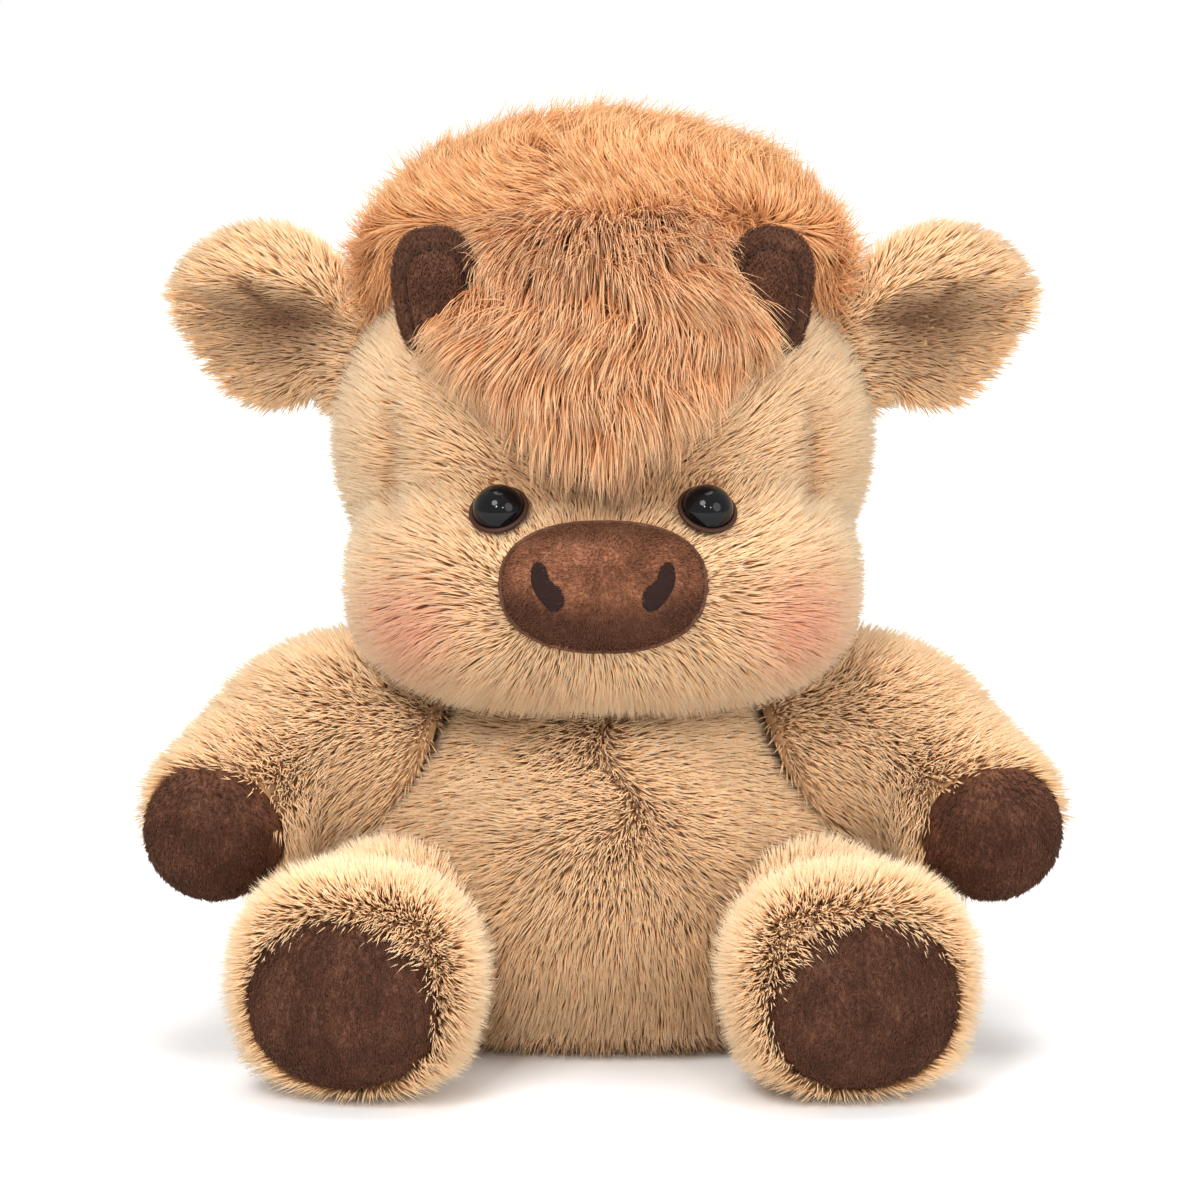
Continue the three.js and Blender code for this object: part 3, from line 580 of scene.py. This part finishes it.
# It is cut to the dome that it fills
heights = np.linspace(0, 30, 61)
depths = np.stack([crown_dome(points + normals * height) for height in heights], -1)
reach = np.clip(heights[np.argmax(depths > 0, axis=-1)] / CROWN_LENGTH, 0.35, 1.25)
brush(crown, lie, grow=rooted, reach=np.maximum(reach, 0.95 * front),
      shade=0.1 + 0.4 * front)
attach(crown, "head")
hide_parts("crown_tuft")
grow_coat("crown_tuft_hair", crown, crown_hair, "head", "long_hair", batches=2, seed=31, Density=1.75,
          Length=CROWN_LENGTH, Width=0.52, Bend=0.4, Lean=0.3, Lock=8.0, Pull=1.6, Loose=0.5, Segments=3)
grow_coat("crown_stray_hair", crown, crown_hair, "head", "long_hair", seed=35, Density=0.3,
          Length=CROWN_LENGTH * 1.5, Width=0.36, Bend=0.5, Lean=0.3, Lock=9.0, Pull=0.9, Loose=0.7,
          Segments=3)

# Forelock.
# Coarse reddish hair that falls from the crown over the brow to a point between the eyes.
FORELOCK_CORE = 2.5
FORELOCK_LENGTH = 20.0
FORELOCK_TIP, FORELOCK_TOP = 170, 226
# Half the forelock's width at heights from its tip up into the crown
forelock_heights = [170, 175, 180, 187, 193, 205, 236]
forelock_halves = [3, 13, 22, 33, 43, 46, 38]
bang_hair = pile_finish("forelock_hair", tint(196, 118, 68), tint(218, 152, 98),
                        tint(252, 214, 170), tint(186, 112, 66))


def forelock_form(points):
    """The brow under the forelock, wide at the crown and narrow between the eyes."""
    x, y, z = points[..., 0], points[..., 1], points[..., 2]
    half = np.interp(z, forelock_heights, forelock_halves)
    region = np.maximum.reduce([np.abs(x) - half, FORELOCK_TIP - z, z - FORELOCK_TOP, y + 4])
    return np.maximum(head_form(points) - FORELOCK_CORE, region)


points, faces, _ = stuffed_shape(forelock_form, at(0, -30, 192), 0.0, 5)
normals = slope(head_form, points)
forelock = piece("forelock_core", points, faces, crown_cloth)
x, y, z = points.T
clear = ~covered_by(points + normals * 4, ["horn_left", "horn_right", "nose_pad"])
drift = sway(points, (0.28, 6.0), (0.25, 3.3), (0.0, 2.0))
fall = along_surface(points * at(0.006, 0, 0) + at(0, -0.25, -1) + drift, normals)
shorter_aside = np.clip(1.05 - np.clip(np.abs(x) - 12, 0, 40) / 60, 0.5, 1.05)
ragged = 1 + 0.22 * np.sin(x * 1.3 + z * 0.9)
brush(forelock, unit(fall), grow=(head_form(points) > 0) & clear,
      reach=shorter_aside * ragged, shade=0.05)
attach(forelock, "head")
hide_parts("forelock")
grow_coat("forelock_hair", forelock, bang_hair, "head", "long_hair", batches=2, seed=41, Density=1.4,
          Length=FORELOCK_LENGTH, Width=0.52, Bend=0.5, Lean=1.35, Lock=8.0, Pull=2.0, Loose=0.6,
          Segments=3)

# Horns.
# Two halves of brown short-nap plush, seamed along the outer edge and stuffed firm.
HORN_CLOTH_DEPTH = 1.2
HORN_SEAM = 1.3
SEAM_PLACE = -7.2
SEAM_THREAD = 0.75
SIDES = (("left", 1), ("right", -1))
NAP = {"Length": 1.7, "Width": 0.5, "Bend": 0.3, "Lean": 0.9, "Lock": 2.5, "Pull": 0.5}


def nap_finish(name, deep, middle, pale):
    """Short-nap plush: close fibres that catch the light in soft flecks and scatter it at the rim."""
    material, tree = new_finish(name)
    fleck, cloud = noise(tree, 1100.0, 3.0, 0.7), noise(tree, 110.0, 4.0)
    part = partial(maths, tree, "MULTIPLY")
    mottle = maths(tree, "ADD", part(fleck, 0.55), part(cloud, 0.45))
    colour = ramp(tree, mottle, deep, pale, middle, 0.31, 0.71)
    # The shade attribute mixes in the deep colour as painted shade: on the nose and in the horns' seam
    # grooves
    surface(tree, {"Base Color": mixed(tree, brushed(tree, "shade"), colour, deep), "Roughness": 0.8,
                   "Specular IOR Level": 0.2, "Normal": bumps(tree, fleck, 0.7, 0.0006),
                   "Sheen Weight": 0.6, "Sheen Roughness": 0.35, "Sheen Tint": pale})
    return material


def leaving(form, level, start, way, nearest, farthest, steps):
    """Where a line that starts inside a form first passes a level of it."""
    line = start + np.linspace(nearest, farthest, steps)[:, None] * way
    return line[np.argmax(form(line) > level)]


def sewn_threads():
    """The tree that turns drawn lines into round thread."""
    tree, given = modifier_tree("sewn_threads", {
        "Lines": "Geometry", "Thread width": "Float", "Finish": "Material"}, "Threads")
    put = partial(result, tree)
    half = maths(tree, "MULTIPLY", given["Thread width"], 0.5)
    ring = put("GeometryNodeCurvePrimitiveCircle", {"Resolution": 6, "Radius": half})
    run = put("GeometryNodeMeshToCurve", {0: given["Lines"]})
    tube = put("GeometryNodeCurveToMesh", {"Curve": run, "Profile Curve": ring, "Fill Caps": True})
    tube = put("GeometryNodeRealizeInstances", {0: tube})
    tube = put("GeometryNodeSetMaterial", {"Geometry": tube, "Material": given["Finish"]})
    node(tree, "NodeGroupOutput", {0: tube})
    return tree


thread_tree = sewn_threads()


def sew(name, lines, width, finish, body, closed=False):
    """Thread or piping along lines of points, as one plain mesh."""
    places, edges = [], []
    for line in lines:
        first = len(places)
        places.extend((np.array(line) * MM).tolist())
        edges.extend((first + i, first + i + 1) for i in range(len(line) - 1))
        if closed:
            edges.append((len(places) - 1, first))
    drawn = bpy.data.meshes.new(name)
    drawn.from_pydata(places, edges, [])
    mesh = grown(thread_tree, drawn, name, {"Thread width": width * MM, "Finish": finish})
    mesh.shade_smooth()
    made = placed(name, mesh)
    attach(made, body)
    return made


brown = nap_finish("brown_nap", tint(58, 34, 23), tint(86, 53, 37), tint(124, 82, 61))
seam_thread = thread_finish("seam_thread", tint(52, 31, 22))
for side, sign in SIDES:
    lean = math.radians(8) * sign
    up = at(math.sin(lean), 0, math.cos(lean))
    axes = np.stack([at(math.cos(lean), 0, -math.sin(lean)), at(0, 1, 0), up])
    middle = at(44 * sign, -27, 202.5)
    form = round_form(middle, at(25, 21, 38), 2.6, axes)
    points, faces, normals = stuffed_shape(form, middle, -HORN_CLOTH_DEPTH, 5)
    local = (points - middle) @ axes.T
    seam = np.exp(-((local[:, 1] - SEAM_PLACE) / 0.8) ** 2)
    points = points - normals * (HORN_SEAM * seam)[:, None]
    horn = piece(f"horn_{side}_cover", points, faces, brown)
    # The seam's groove is bare of nap and darkened as painted shade
    brush(horn, unit(along_surface(up, normals)), grow=1.0 - seam, shade=0.9 * seam)
    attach(horn, "head")
    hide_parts(f"horn_{side}")
    grow_coat(f"horn_{side}_nap", horn, brown, "head", "short_plush", seed=51, Density=2.2, **NAP)

    # Stitches lie in the seam, from the brow over the tip and down to the brow again
    run = []
    for angle in np.linspace(math.radians(-50), math.radians(230), 90):
        way = axes[0] * math.cos(angle) + up * math.sin(angle)
        run.append(leaving(form, -1.7, middle + axes[1] * SEAM_PLACE, way, 2, 26, 700))
    stitches = [run[i:i + 3] for i in range(0, len(run) - 2, 4)]
    sew(f"horn_{side}_seam", stitches, SEAM_THREAD, seam_thread, "head")

# Nose.
# A padded oval of short-nap plush set into the muzzle, darkened as painted shade on its lower half and
# along its top edge, with a rolled edge where it is sewn in and a satin-stitched nostril on each side.
NOSTRIL_HEIGHT = 12.6
NOSTRIL_ROWS = 30
THREAD_WIDTH = 0.5
STITCH_SLANT = 0.12
STITCH_DIP = 0.6
ROLL_WIDTH = 1.5
nose_nap = nap_finish("nose_nap", tint(54, 29, 18), tint(128, 80, 55), tint(172, 116, 86))
nose_middle = at(0, -68, 130)
nose_form = round_form(nose_middle, at(56, 22, 35), 2.3)
nostril_middle = at(14.4, 0, 131.4)
# The nostril's outer and inner edges from its top to its bottom, outwards positive
nostril_heights = [0.0, 0.1, 0.2, 0.35, 0.45, 0.5, 0.6, 0.7, 0.8, 0.9, 1.0]
nostril_outer = [2.6, 3.8, 4.2, 4.3, 4.2, 4.1, 3.8, 3.2, 2.3, 1.2, -0.6]
nostril_inner = [1.8, 0.5, 0.1, -0.4, -1.9, -3.1, -3.8, -4.2, -4.4, -4.0, -2.6]


def nostril_edges(share):
    """How far out the nostril's inner and outer edges lie, at shares of its height from the top."""
    return (np.interp(share, nostril_heights, nostril_inner),
            np.interp(share, nostril_heights, nostril_outer))


def nose_front(x, z, depth):
    """The point of the nose's front at a width and a height, under its surface by a depth."""
    line = at(x, 0, z) + np.linspace(-84, -60, 600)[:, None] * at(0, 1, 0)
    return line[np.argmax(nose_form(line) < -depth)]


points, faces, normals = stuffed_shape(nose_form, nose_middle, -1.0, 5)
nose = piece("nose_pad_cover", points, faces, nose_nap)
x, y, z = points.T
level = (nostril_middle[2] + NOSTRIL_HEIGHT / 2 - z) / NOSTRIL_HEIGHT
outward = np.abs(x) - nostril_middle[0]
inner, outer = nostril_edges(level)
stitched = (level > 0) & (level < 1) & (outward < outer + 0.2) & (outward > inner - 0.2)
outspread = along_surface((points - at(0, -80, 134)) * at(1, 0, 1), normals)
# Painted shade: darker on the lower half, and along the top edge under the muzzle fur
low_shade = np.clip((128.5 - z + 4.5 * (np.abs(x) / 26) ** 2) / 8, 0, 0.78)
top_shade = np.clip((z - 141) / 6, 0, 0.5)
brush(nose, unit(outspread), grow=(head_form(points) > -6) * (1.0 - stitched),
      shade=np.maximum(low_shade, top_shade))
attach(nose, "head")
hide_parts("nose_pad")
grow_coat("nose_pad_nap", nose, nose_nap, "head", "short_plush", seed=61, Density=3.0, Length=1.4,
          Width=0.45, Bend=0.3, Lean=0.9, Lock=2.5, Pull=0.4)

dark_thread = thread_finish("nostril_thread", tint(40, 23, 19))
for side, sign in SIDES:
    rows = []
    for row in range(NOSTRIL_ROWS):
        share = (row + 0.5) / NOSTRIL_ROWS
        height = nostril_middle[2] + NOSTRIL_HEIGHT * (0.5 - share)
        ends = nostril_edges(share)
        rows.append([
            nose_front(sign * (nostril_middle[0] + x), height + STITCH_SLANT * (x - ends[0]),
                       0.15 + (STITCH_DIP if x in ends else 0.0)) for x in np.linspace(*ends, 7)])
    threads = sew(f"nostril_{side}_stitches", rows, THREAD_WIDTH, dark_thread, "head")
    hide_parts(f"nostril_{side}")

# A narrow roll of darker brown plush hides the seam round the nose, where the pad leaves the muzzle;
# its dark tone is partly painted shade under the muzzle fur
roll = []
tilts = np.linspace(0, 1.5, 80)[:, None]
for angle in np.linspace(0, 2 * math.pi, 120, endpoint=False):
    way = at(math.cos(angle), 0, math.sin(angle))
    for ray in unit(way[None] * np.cos(tilts) - at(0, 1, 0) * np.sin(tilts)):
        spot = leaving(nose_form, -0.6, nose_middle, ray, 8, 40, 320)
        if head_form(spot[None])[0] > -3.2:
            break
    roll.append(spot)
sew("nose_edge_roll", [roll], ROLL_WIDTH, brown, "head", closed=True)

# Eyes.
# Black plastic domes on a shank, each pressed through the fur against a narrow rim.
EYE_WIDTH = 14.0
DOME_SINK = 3.6
RIM_SINK = 3.2
RIM_HALF = 0.7
# The shank and the flange behind the dome, each entry a radius and a height
shank_profile = [(2.2, -12.0), (2.2, -5.2), (6.6, -5.0)]


def plastic(name, colour, roughness):
    """Moulded plastic with a weak reflection."""
    material, tree = new_finish(name)
    surface(tree, {"Base Color": colour, "Roughness": roughness, "Specular IOR Level": 0.2})
    return material


def cross_axes(facing):
    """The level and the upright direction across a way that something faces."""
    across = unit(np.cross(facing, at(0, 0, 1)))
    return across, np.cross(across, facing)


def lathed(profile, place, axis, sides=48):
    """Points and faces of a closed turned shape: each profile entry is a radius and a height."""
    axis = unit(axis)
    across, upright = cross_axes(axis)
    turns = [2 * math.pi * i / sides for i in range(sides)]
    points = [place + axis * height + (across * math.cos(a) + upright * math.sin(a)) * radius
              for radius, height in profile for a in turns]
    last = len(points) - sides
    walls = [[a + i, a + sides + i, a + sides + (i + 1) % sides, a + (i + 1) % sides]
             for a in range(0, last, sides) for i in range(sides)]
    return np.array(points), walls + [list(range(sides)), [last + i for i in reversed(range(sides))]]


def outwards(made):
    """Turns a closed mesh's faces outwards."""
    work = bmesh.new()
    work.from_mesh(made.data)
    bmesh.ops.remove_doubles(work, verts=work.verts, dist=1e-6)
    bmesh.ops.recalc_face_normals(work, faces=work.faces)
    work.to_mesh(made.data)
    work.free()
    return made


eye_plastic = plastic("eye_plastic", (0.004, 0.0035, 0.004, 1), 0.06)
rim_plastic = plastic("eye_rim", tint(58, 34, 24), 0.5)
washer_nylon, tree = new_finish("washer_nylon")
grain = ramp(tree, noise(tree, 900.0), tint(214, 210, 202), tint(236, 234, 228))
surface(tree, {"Base Color": grain, "Roughness": 0.45})

for side, sign in SIDES:
    place = leaving(head_form, 0, EYE_PLACE * at(sign, 0, 1), at(0, -1, 0), 20, 90, 2000)
    axis = slope(head_form, place[None], 1.5)[0]
    dome = [(max(EYE_WIDTH / 2 * math.cos(a), 0.02), EYE_WIDTH / 2 * math.sin(a) - DOME_SINK)
            for a in math.pi / 2 * np.arange(15) / 14]
    points, faces = lathed(shank_profile + dome, place, axis)
    eye = outwards(piece(f"eye_{side}_dome", points, faces, eye_plastic))
    rim = [(EYE_WIDTH / 2 + 0.4 + RIM_HALF * math.cos(a), -RIM_SINK + RIM_HALF * math.sin(a))
           for a in np.linspace(0, 2 * math.pi, 13)]
    points, faces = lathed(rim, place, axis)
    ring = outwards(piece(f"eye_{side}_rim", points, faces[:-2], rim_plastic))
    for made in (eye, ring):
        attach(made, "head")
    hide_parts(f"eye_{side}")
    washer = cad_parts[f"eye_washer_{side}"]
    washer.data.materials.clear()
    washer.data.materials.append(washer_nylon)

# Ears.
# A fur back and a shorter lining sewn into a cup, with the upper edge rolled over and painted shade
# darkening the cup and the slit under the roll.
# Each is stuffed thinly and gathered at its root, where it is sewn to the side of the head.
EAR_CLOTH_DEPTH = 4.6
CUP_WALL = 2.6
# Its dark colour is used mostly as painted shade in the cup and under the rolled edge
ear_fur = pile_finish("ear_fur", tint(230, 174, 118), tint(248, 200, 146),
                      tint(255, 228, 192), tint(124, 80, 50))
for side, sign in SIDES:
    tilt, slant = math.radians(17), math.radians(-14)
    axes = np.stack([at(math.cos(tilt) * sign, 0, math.sin(tilt)), at(0, 1, 0),
                     at(-math.sin(tilt) * sign, 0, math.cos(tilt))])
    root = at(66.8 * sign, 8, 184)

    def from_root(x, y, z):
        return root + at(x, y, z) @ axes

    stem = limb_form(from_root(0, 0, -12), from_root(0, 0, 12), 18.0, 18.0)
    blade = round_form(from_root(27, 0, 1), at(56, 21, 55), 2.0, axes)
    leaf = sewn_together([stem, blade], 4.0)
    cup_axes = np.stack([axes[0] * math.cos(slant) + axes[2] * math.sin(slant), axes[1],
                         axes[2] * math.cos(slant) - axes[0] * math.sin(slant)])
    cup = round_form(from_root(27, -12, -6), at(50, 27, 27), 2.0, cup_axes)

    def form(places):
        return np.maximum(leaf(places) + EAR_CLOTH_DEPTH, CUP_WALL - cup(places))

    points, faces, normals = stuffed_shape(form, from_root(20, 3, 2), 0.0, 5)
    ear = piece(f"ear_{side}_cover", points, faces, backing)
    # Inside the cup and under the roll the hair is shorter and darkened as painted shade
    inner = np.clip(1 - (cup(points) - CUP_WALL) / 3, 0, 1)
    fold = inner * np.clip((points - from_root(27, 0, -6)) @ cup_axes[2] / 6 - 0.1, 0, 1)
    hidden = covered_by(points + normals * 3, ["head_cover"])
    comb = along_surface(axes[0] + (points - from_root(10, 0, 0)) * 0.02, normals)
    brush(ear, unit(comb), grow=~hidden, reach=1 - 0.4 * inner - 0.2 * fold,
          shade=np.clip(0.02 + 0.42 * inner + 0.8 * fold, 0, 1))
    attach(ear, f"ear_{side}")
    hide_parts(f"ear_{side}_back", f"ear_{side}_lining")
    grow_coat(f"ear_{side}_fur", ear, ear_fur, f"ear_{side}", "fur", seed=71, Density=2.4,
              Length=7.5, Lean=0.8)

# Arms.
# Stuffed fur tubes on a flat round root, combed down to the hand, where a round pad of short-nap
# plush closes the end and the fur folds over its edge.
PAD_DEPTH = 1.6
PAD_TUCK = 3.2
PAD_THICKNESS = 2.5
PAD_DENSITY = 2.4
HAND_PAD = 38


def padded_oval(name, form, middle, facing, width, height, rings=14, sides=56):
    """A domed plush pad that closes the end of a limb, tucked in at its seam."""
    across, upright = cross_axes(facing)
    turns = [2 * math.pi * i / sides for i in range(sides)]
    shares = [ring / rings for ring in range(1, rings + 1)]
    starts = [middle + (across * width * math.cos(a) + upright * height * math.sin(a)) / 2 * share
              for share in shares for a in turns]
    starts = np.array(starts + [middle])
    depths = np.repeat(PAD_DEPTH + PAD_TUCK * np.array(shares + [0.0]) ** 7, [sides] * rings + [1])
    ways = np.broadcast_to(facing, starts.shape)
    front = surface_along(form, starts, ways, -depths, nearest=-30.0, farthest=90.0, halvings=30)
    back = front[-1 - sides:-1] - facing * PAD_THICKNESS
    points = np.concatenate([front, back, [back.mean(0)]])
    centre, rim, behind = rings * sides, rings * sides + 1, len(points) - 1
    faces = []
    for i in range(sides):
        j = (i + 1) % sides
        faces.append([centre, i, j])
        for ring in range(rings - 1):
            a, b = ring * sides, (ring + 1) * sides
            faces.append([a + i, b + i, b + j, a + j])
        edge = (rings - 1) * sides
        faces.append([edge + i, rim + i, rim + j, edge + j])
        faces.append([rim + i, behind, rim + j])
    return outwards(piece(name, points, faces, brown))


def pad_share(points, middle, facing, width, height):
    """How far out points lie on a pad: 1 at its edge, large behind it."""
    across, upright = cross_axes(facing)
    local = points - middle
    share = np.hypot(local @ across / (width / 2), local @ upright / (height / 2))
    return np.where(local @ facing > 0, share, 9.0)


def sew_pad(name, node_name, body, form, middle, facing, width, height, seed):
    """A pad with its nap combed down, on a limb's body and for a CAD node."""
    pad = padded_oval(f"{name}_cover", form, middle, facing, width, height)
    normals = np.array([v.normal for v in pad.data.vertices])
    brush(pad, unit(along_surface(at(0, 0, -1), normals)), grow=normals @ facing > 0.2)
    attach(pad, body)
    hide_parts(node_name)
    grow_coat(f"{name}_nap", pad, brown, body, "short_plush", seed=seed, Density=PAD_DENSITY, **NAP)


for side, sign in SIDES:
    mirror = at(sign, 1, 1)
    shoulder, out = at(56.77, 0, 71) * mirror, at(0.913545, 0, 0.406737) * mirror
    elbow, hand = at(84, -8, 73) * mirror, at(103, -32, 61) * mirror
    facing = unit(at(0.3, -0.87, -0.38) * mirror)
    upper_arm = limb_form(shoulder, shoulder + out * 13, 65.0, 65.0)
    forearm = limb_form(elbow, hand, 56.0, 49.0)
    arm_form = sewn_together([upper_arm, forearm], 14.0)

    def gathered(places):
        """How much the shoulder's seam gathers the cloth, which lies less deep there."""
        return graded((places - shoulder) @ out, 16, 0)

    def form(places):
        cloth = arm_form(places) + CLOTH_DEPTH * (1 - 0.55 * gathered(places))
        return np.maximum(cloth, -5.5 - (places - shoulder) @ out)

    points, faces, normals = stuffed_shape(form, elbow, 0.0, 5)
    arm = piece(f"arm_{side}_cover_cloth", points, faces, backing)
    hidden = covered_by(points + normals, ["torso_cover", "head_cover"])
    hidden |= (points - shoulder) @ out < -4
    edge = pad_share(points, hand, facing, HAND_PAD, HAND_PAD)
    onto_pad = np.clip(2 - edge, 0, 1)[:, None]
    over_edge = np.clip(1.5 - edge, 0, 0.5)[:, None] * unit(hand - points) * 3.0
    comb = unit(hand - shoulder) + facing * onto_pad * 0.8 + over_edge + at(0, 0, -0.25)
    by_head = np.clip(0.5 + head_form(points) / 18, 0.5, 1)
    brush(arm, unit(along_surface(comb, normals)), grow=~hidden & (edge > 0.98),
          reach=by_head * (1 - 0.35 * gathered(points)), shade=0.10)
    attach(arm, f"arm_{side}")
    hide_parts(f"arm_{side}_cover", f"arm_{side}_filling")
    grow_coat(f"arm_{side}_fur", arm, fur, f"arm_{side}", "fur", seed=81)
    sew_pad(f"hand_{side}_pad", f"hand_pad_{side}", f"arm_{side}", arm_form, hand, facing,
            HAND_PAD, HAND_PAD, seed=91)

# Legs.
# Short stuffed legs that lie out in front, each swelling to a foot behind its oval sole pad. The
# fur stands out round the sole like a ruff.
SOLE_WIDTH, SOLE_HEIGHT = 50, 47
for side, sign in SIDES:
    splay = math.radians(12) * sign
    facing = at(math.sin(splay), -math.cos(splay), 0)
    axes = np.stack([at(math.cos(splay), math.sin(splay), 0), -facing, at(0, 0, 1)])
    foot = at(64 * sign, -92, 31)
    thigh = foot - facing * 40 + at(0, 0, -0.5)
    sole = foot + at(0, 0, -4)
    leg_form = sewn_together([
        round_form(foot, at(69, 56, 63), 2.4, axes), round_form(thigh, at(62, 72, 60), 2.0, axes)], 10.0)
    form = above_torso(leg_form)
    points, faces, normals = stuffed_shape(form, foot + (thigh - foot) / 3, 0.0, 5)
    points = settled(points)
    leg = piece(f"leg_{side}_cover_cloth", points, faces, backing)
    edge = pad_share(points, sole, facing, SOLE_WIDTH, SOLE_HEIGHT)
    hidden = covered_by(points + normals * 2.5, ["torso_cover"])
    ruff = 0.5 + np.clip(2.2 - edge, 0, 1.2)[:, None] * 0.8
    comb = along_surface(facing * ruff + unit(points - sole) * 0.5, normals)
    comb = near_floor(comb, points, normals)
    thin = 1 - 0.6 * (normals[:, 2] < -0.75)
    brush(leg, comb, grow=~hidden * (edge > 0.98) * thin, shade=0.05)
    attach(leg, f"leg_{side}")
    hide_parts(f"leg_{side}_cover", f"leg_{side}_filling")
    grow_coat(f"leg_{side}_fur", leg, fur, f"leg_{side}", "fur", seed=101, Lean=0.6)
    sew_pad(f"sole_{side}_pad", f"sole_pad_{side}", f"leg_{side}", leg_form, sole, facing,
            SOLE_WIDTH, SOLE_HEIGHT, seed=111)

# Tail.
# A thin fur tube that hangs from a ball sewn into the back, with a switch of long hair at its end.
TAIL_LENGTH = 24
TAIL_WIDTH = 12.0
TAIL_CLOTH_DEPTH = 2.6
droop = math.radians(50)
tail_run = at(0, math.cos(droop), -math.sin(droop))
tail_root = at(0, 57.39, 40)
hang = tail_run * TAIL_LENGTH
tail_end = tail_root + hang
ball = round_form(tail_root, at(14, 14, 14))
tail_form = sewn_together([ball, limb_form(tail_root, tail_end, TAIL_WIDTH, TAIL_WIDTH)], 1.5)
points, faces, normals = stuffed_shape(tail_form, tail_root + hang / 2, -TAIL_CLOTH_DEPTH, 4)
tail = piece("tail_cover", points, faces, backing)
brush(tail, unit(along_surface(tail_run, normals)),
      grow=~covered_by(points, ["torso_cover"]), shade=0.12)
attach(tail, "tail")
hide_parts("tail")
grow_coat("tail_fur", tail, fur, "tail", "fur", seed=121, Density=1.3, Length=5.5, Width=0.7, Lean=1.0)

switch_middle = tail_end + tail_run * 3
switch_axes = np.stack([at(1, 0, 0), tail_run, np.cross(at(1, 0, 0), tail_run)])
switch_form = round_form(switch_middle, at(9, 16, 9), 2.0, switch_axes)
points, faces, normals = stuffed_shape(switch_form, switch_middle, 0.0, 3)
switch = piece("tail_tuft_core", points, faces, backing)
brush(switch, unit(along_surface(tail_run, normals)), shade=0.1)
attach(switch, "tail")
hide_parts("tail_tuft")
grow_coat("tail_tuft_hair", switch, crown_hair, "tail", "long_hair", seed=131, Density=2.4, Length=14.0,
          Width=0.6, Bend=0.3, Lean=1.3, Lock=4.0, Pull=0.9, Loose=0.25, Segments=4)

# Floor, light and camera.
# A plain white sweep with a soft shadow, under broad studio light from the front and above.
FLOOR_HALF = 6
VIEW_WIDTH = 330.0
VIEW_DISTANCE = 1400.0
SENSOR = 36
WHITE = (1, 1, 1, 1)
corners = [(x * FLOOR_HALF, y * FLOOR_HALF, 0) for x, y in ((-1, -1), (1, -1), (1, 1), (-1, 1))]
floor_mesh = bpy.data.meshes.new("floor")
floor_mesh.from_pydata(corners, [], [(0, 1, 2, 3)])
floor = placed("floor", floor_mesh)

# Away from the toy the floor glows to the camera, so that it runs out into the white behind it
floor_white, tree = new_finish("floor_white")
paths = node(tree, "ShaderNodeLightPath").outputs
seen = maths(tree, "MAXIMUM", paths["Is Camera Ray"],
             maths(tree, "MAXIMUM", paths["Is Glossy Ray"], paths["Is Transmission Ray"]))
place = node(tree, "ShaderNodeTexCoord").outputs["Object"]
away = node(tree, "ShaderNodeVectorMath", {0: place}, operation="LENGTH").outputs["Value"]
glow_share = result(tree, "ShaderNodeMapRange", {0: away, 1: 0.12, 2: 0.7, 3: 0.0, 4: 0.45})
strength = maths(tree, "MULTIPLY", seen, glow_share)
paint = result(tree, "ShaderNodeBsdfDiffuse", {"Color": (0.85, 0.85, 0.85, 1)})
glow = result(tree, "ShaderNodeEmission", {"Color": WHITE, "Strength": strength})
node(tree, "ShaderNodeOutputMaterial", {0: result(tree, "ShaderNodeAddShader", {0: paint, 1: glow})})
floor_mesh.materials.append(floor_white)

world = bpy.data.worlds.new("studio")
bpy.context.scene.world = world
world.use_nodes = True
tree = world.node_tree
tree.nodes.clear()
paths = node(tree, "ShaderNodeLightPath").outputs
seen = maths(tree, "MAXIMUM", paths["Is Camera Ray"], paths["Is Transmission Ray"])
strength = result(tree, "ShaderNodeMix", {0: seen, 2: 0.8, 3: 1.0}, data_type="FLOAT")
sky = result(tree, "ShaderNodeBackground", {"Color": WHITE, "Strength": strength})
node(tree, "ShaderNodeOutputWorld", {0: sky})

# Round lamps, each with its place and size in metres and its power in watts
for name, spot, size, power in (
    ("key", (-0.7, -1.6, 1.6), 0.9, 28.0),
    ("fill", (1.3, -1.3, 0.8), 1.2, 13.0),
    ("top", (0.0, 0.2, 2.0), 1.2, 18.0),
    ("glint_left", (-0.35, -1.7, 0.95), 0.2, 6.0),
    ("glint_right", (0.5, -1.7, 0.8), 0.16, 3.0),
):
    lamp = bpy.data.lights.new(name, "AREA")
    lamp.shape, lamp.size, lamp.energy = "DISK", size, power
    holder = placed(name, lamp)
    holder.location = spot
    holder.rotation_euler = (Vector((0, 0, 0.12)) - Vector(spot)).to_track_quat("-Z", "Y").to_euler()

target, rise = at(-0.8, 0, 115.8), math.radians(9)
lens = bpy.data.cameras.new("camera")
lens.sensor_width = SENSOR
lens.lens = SENSOR * VIEW_DISTANCE / VIEW_WIDTH
camera = placed("camera", lens)
camera.location = ((target + VIEW_DISTANCE * at(0, -math.cos(rise), math.sin(rise))) * MM).tolist()
camera.rotation_euler = (math.pi / 2 - rise, 0, 0)
bpy.context.scene.camera = camera
bpy.context.scene.view_settings.view_transform = "Standard"
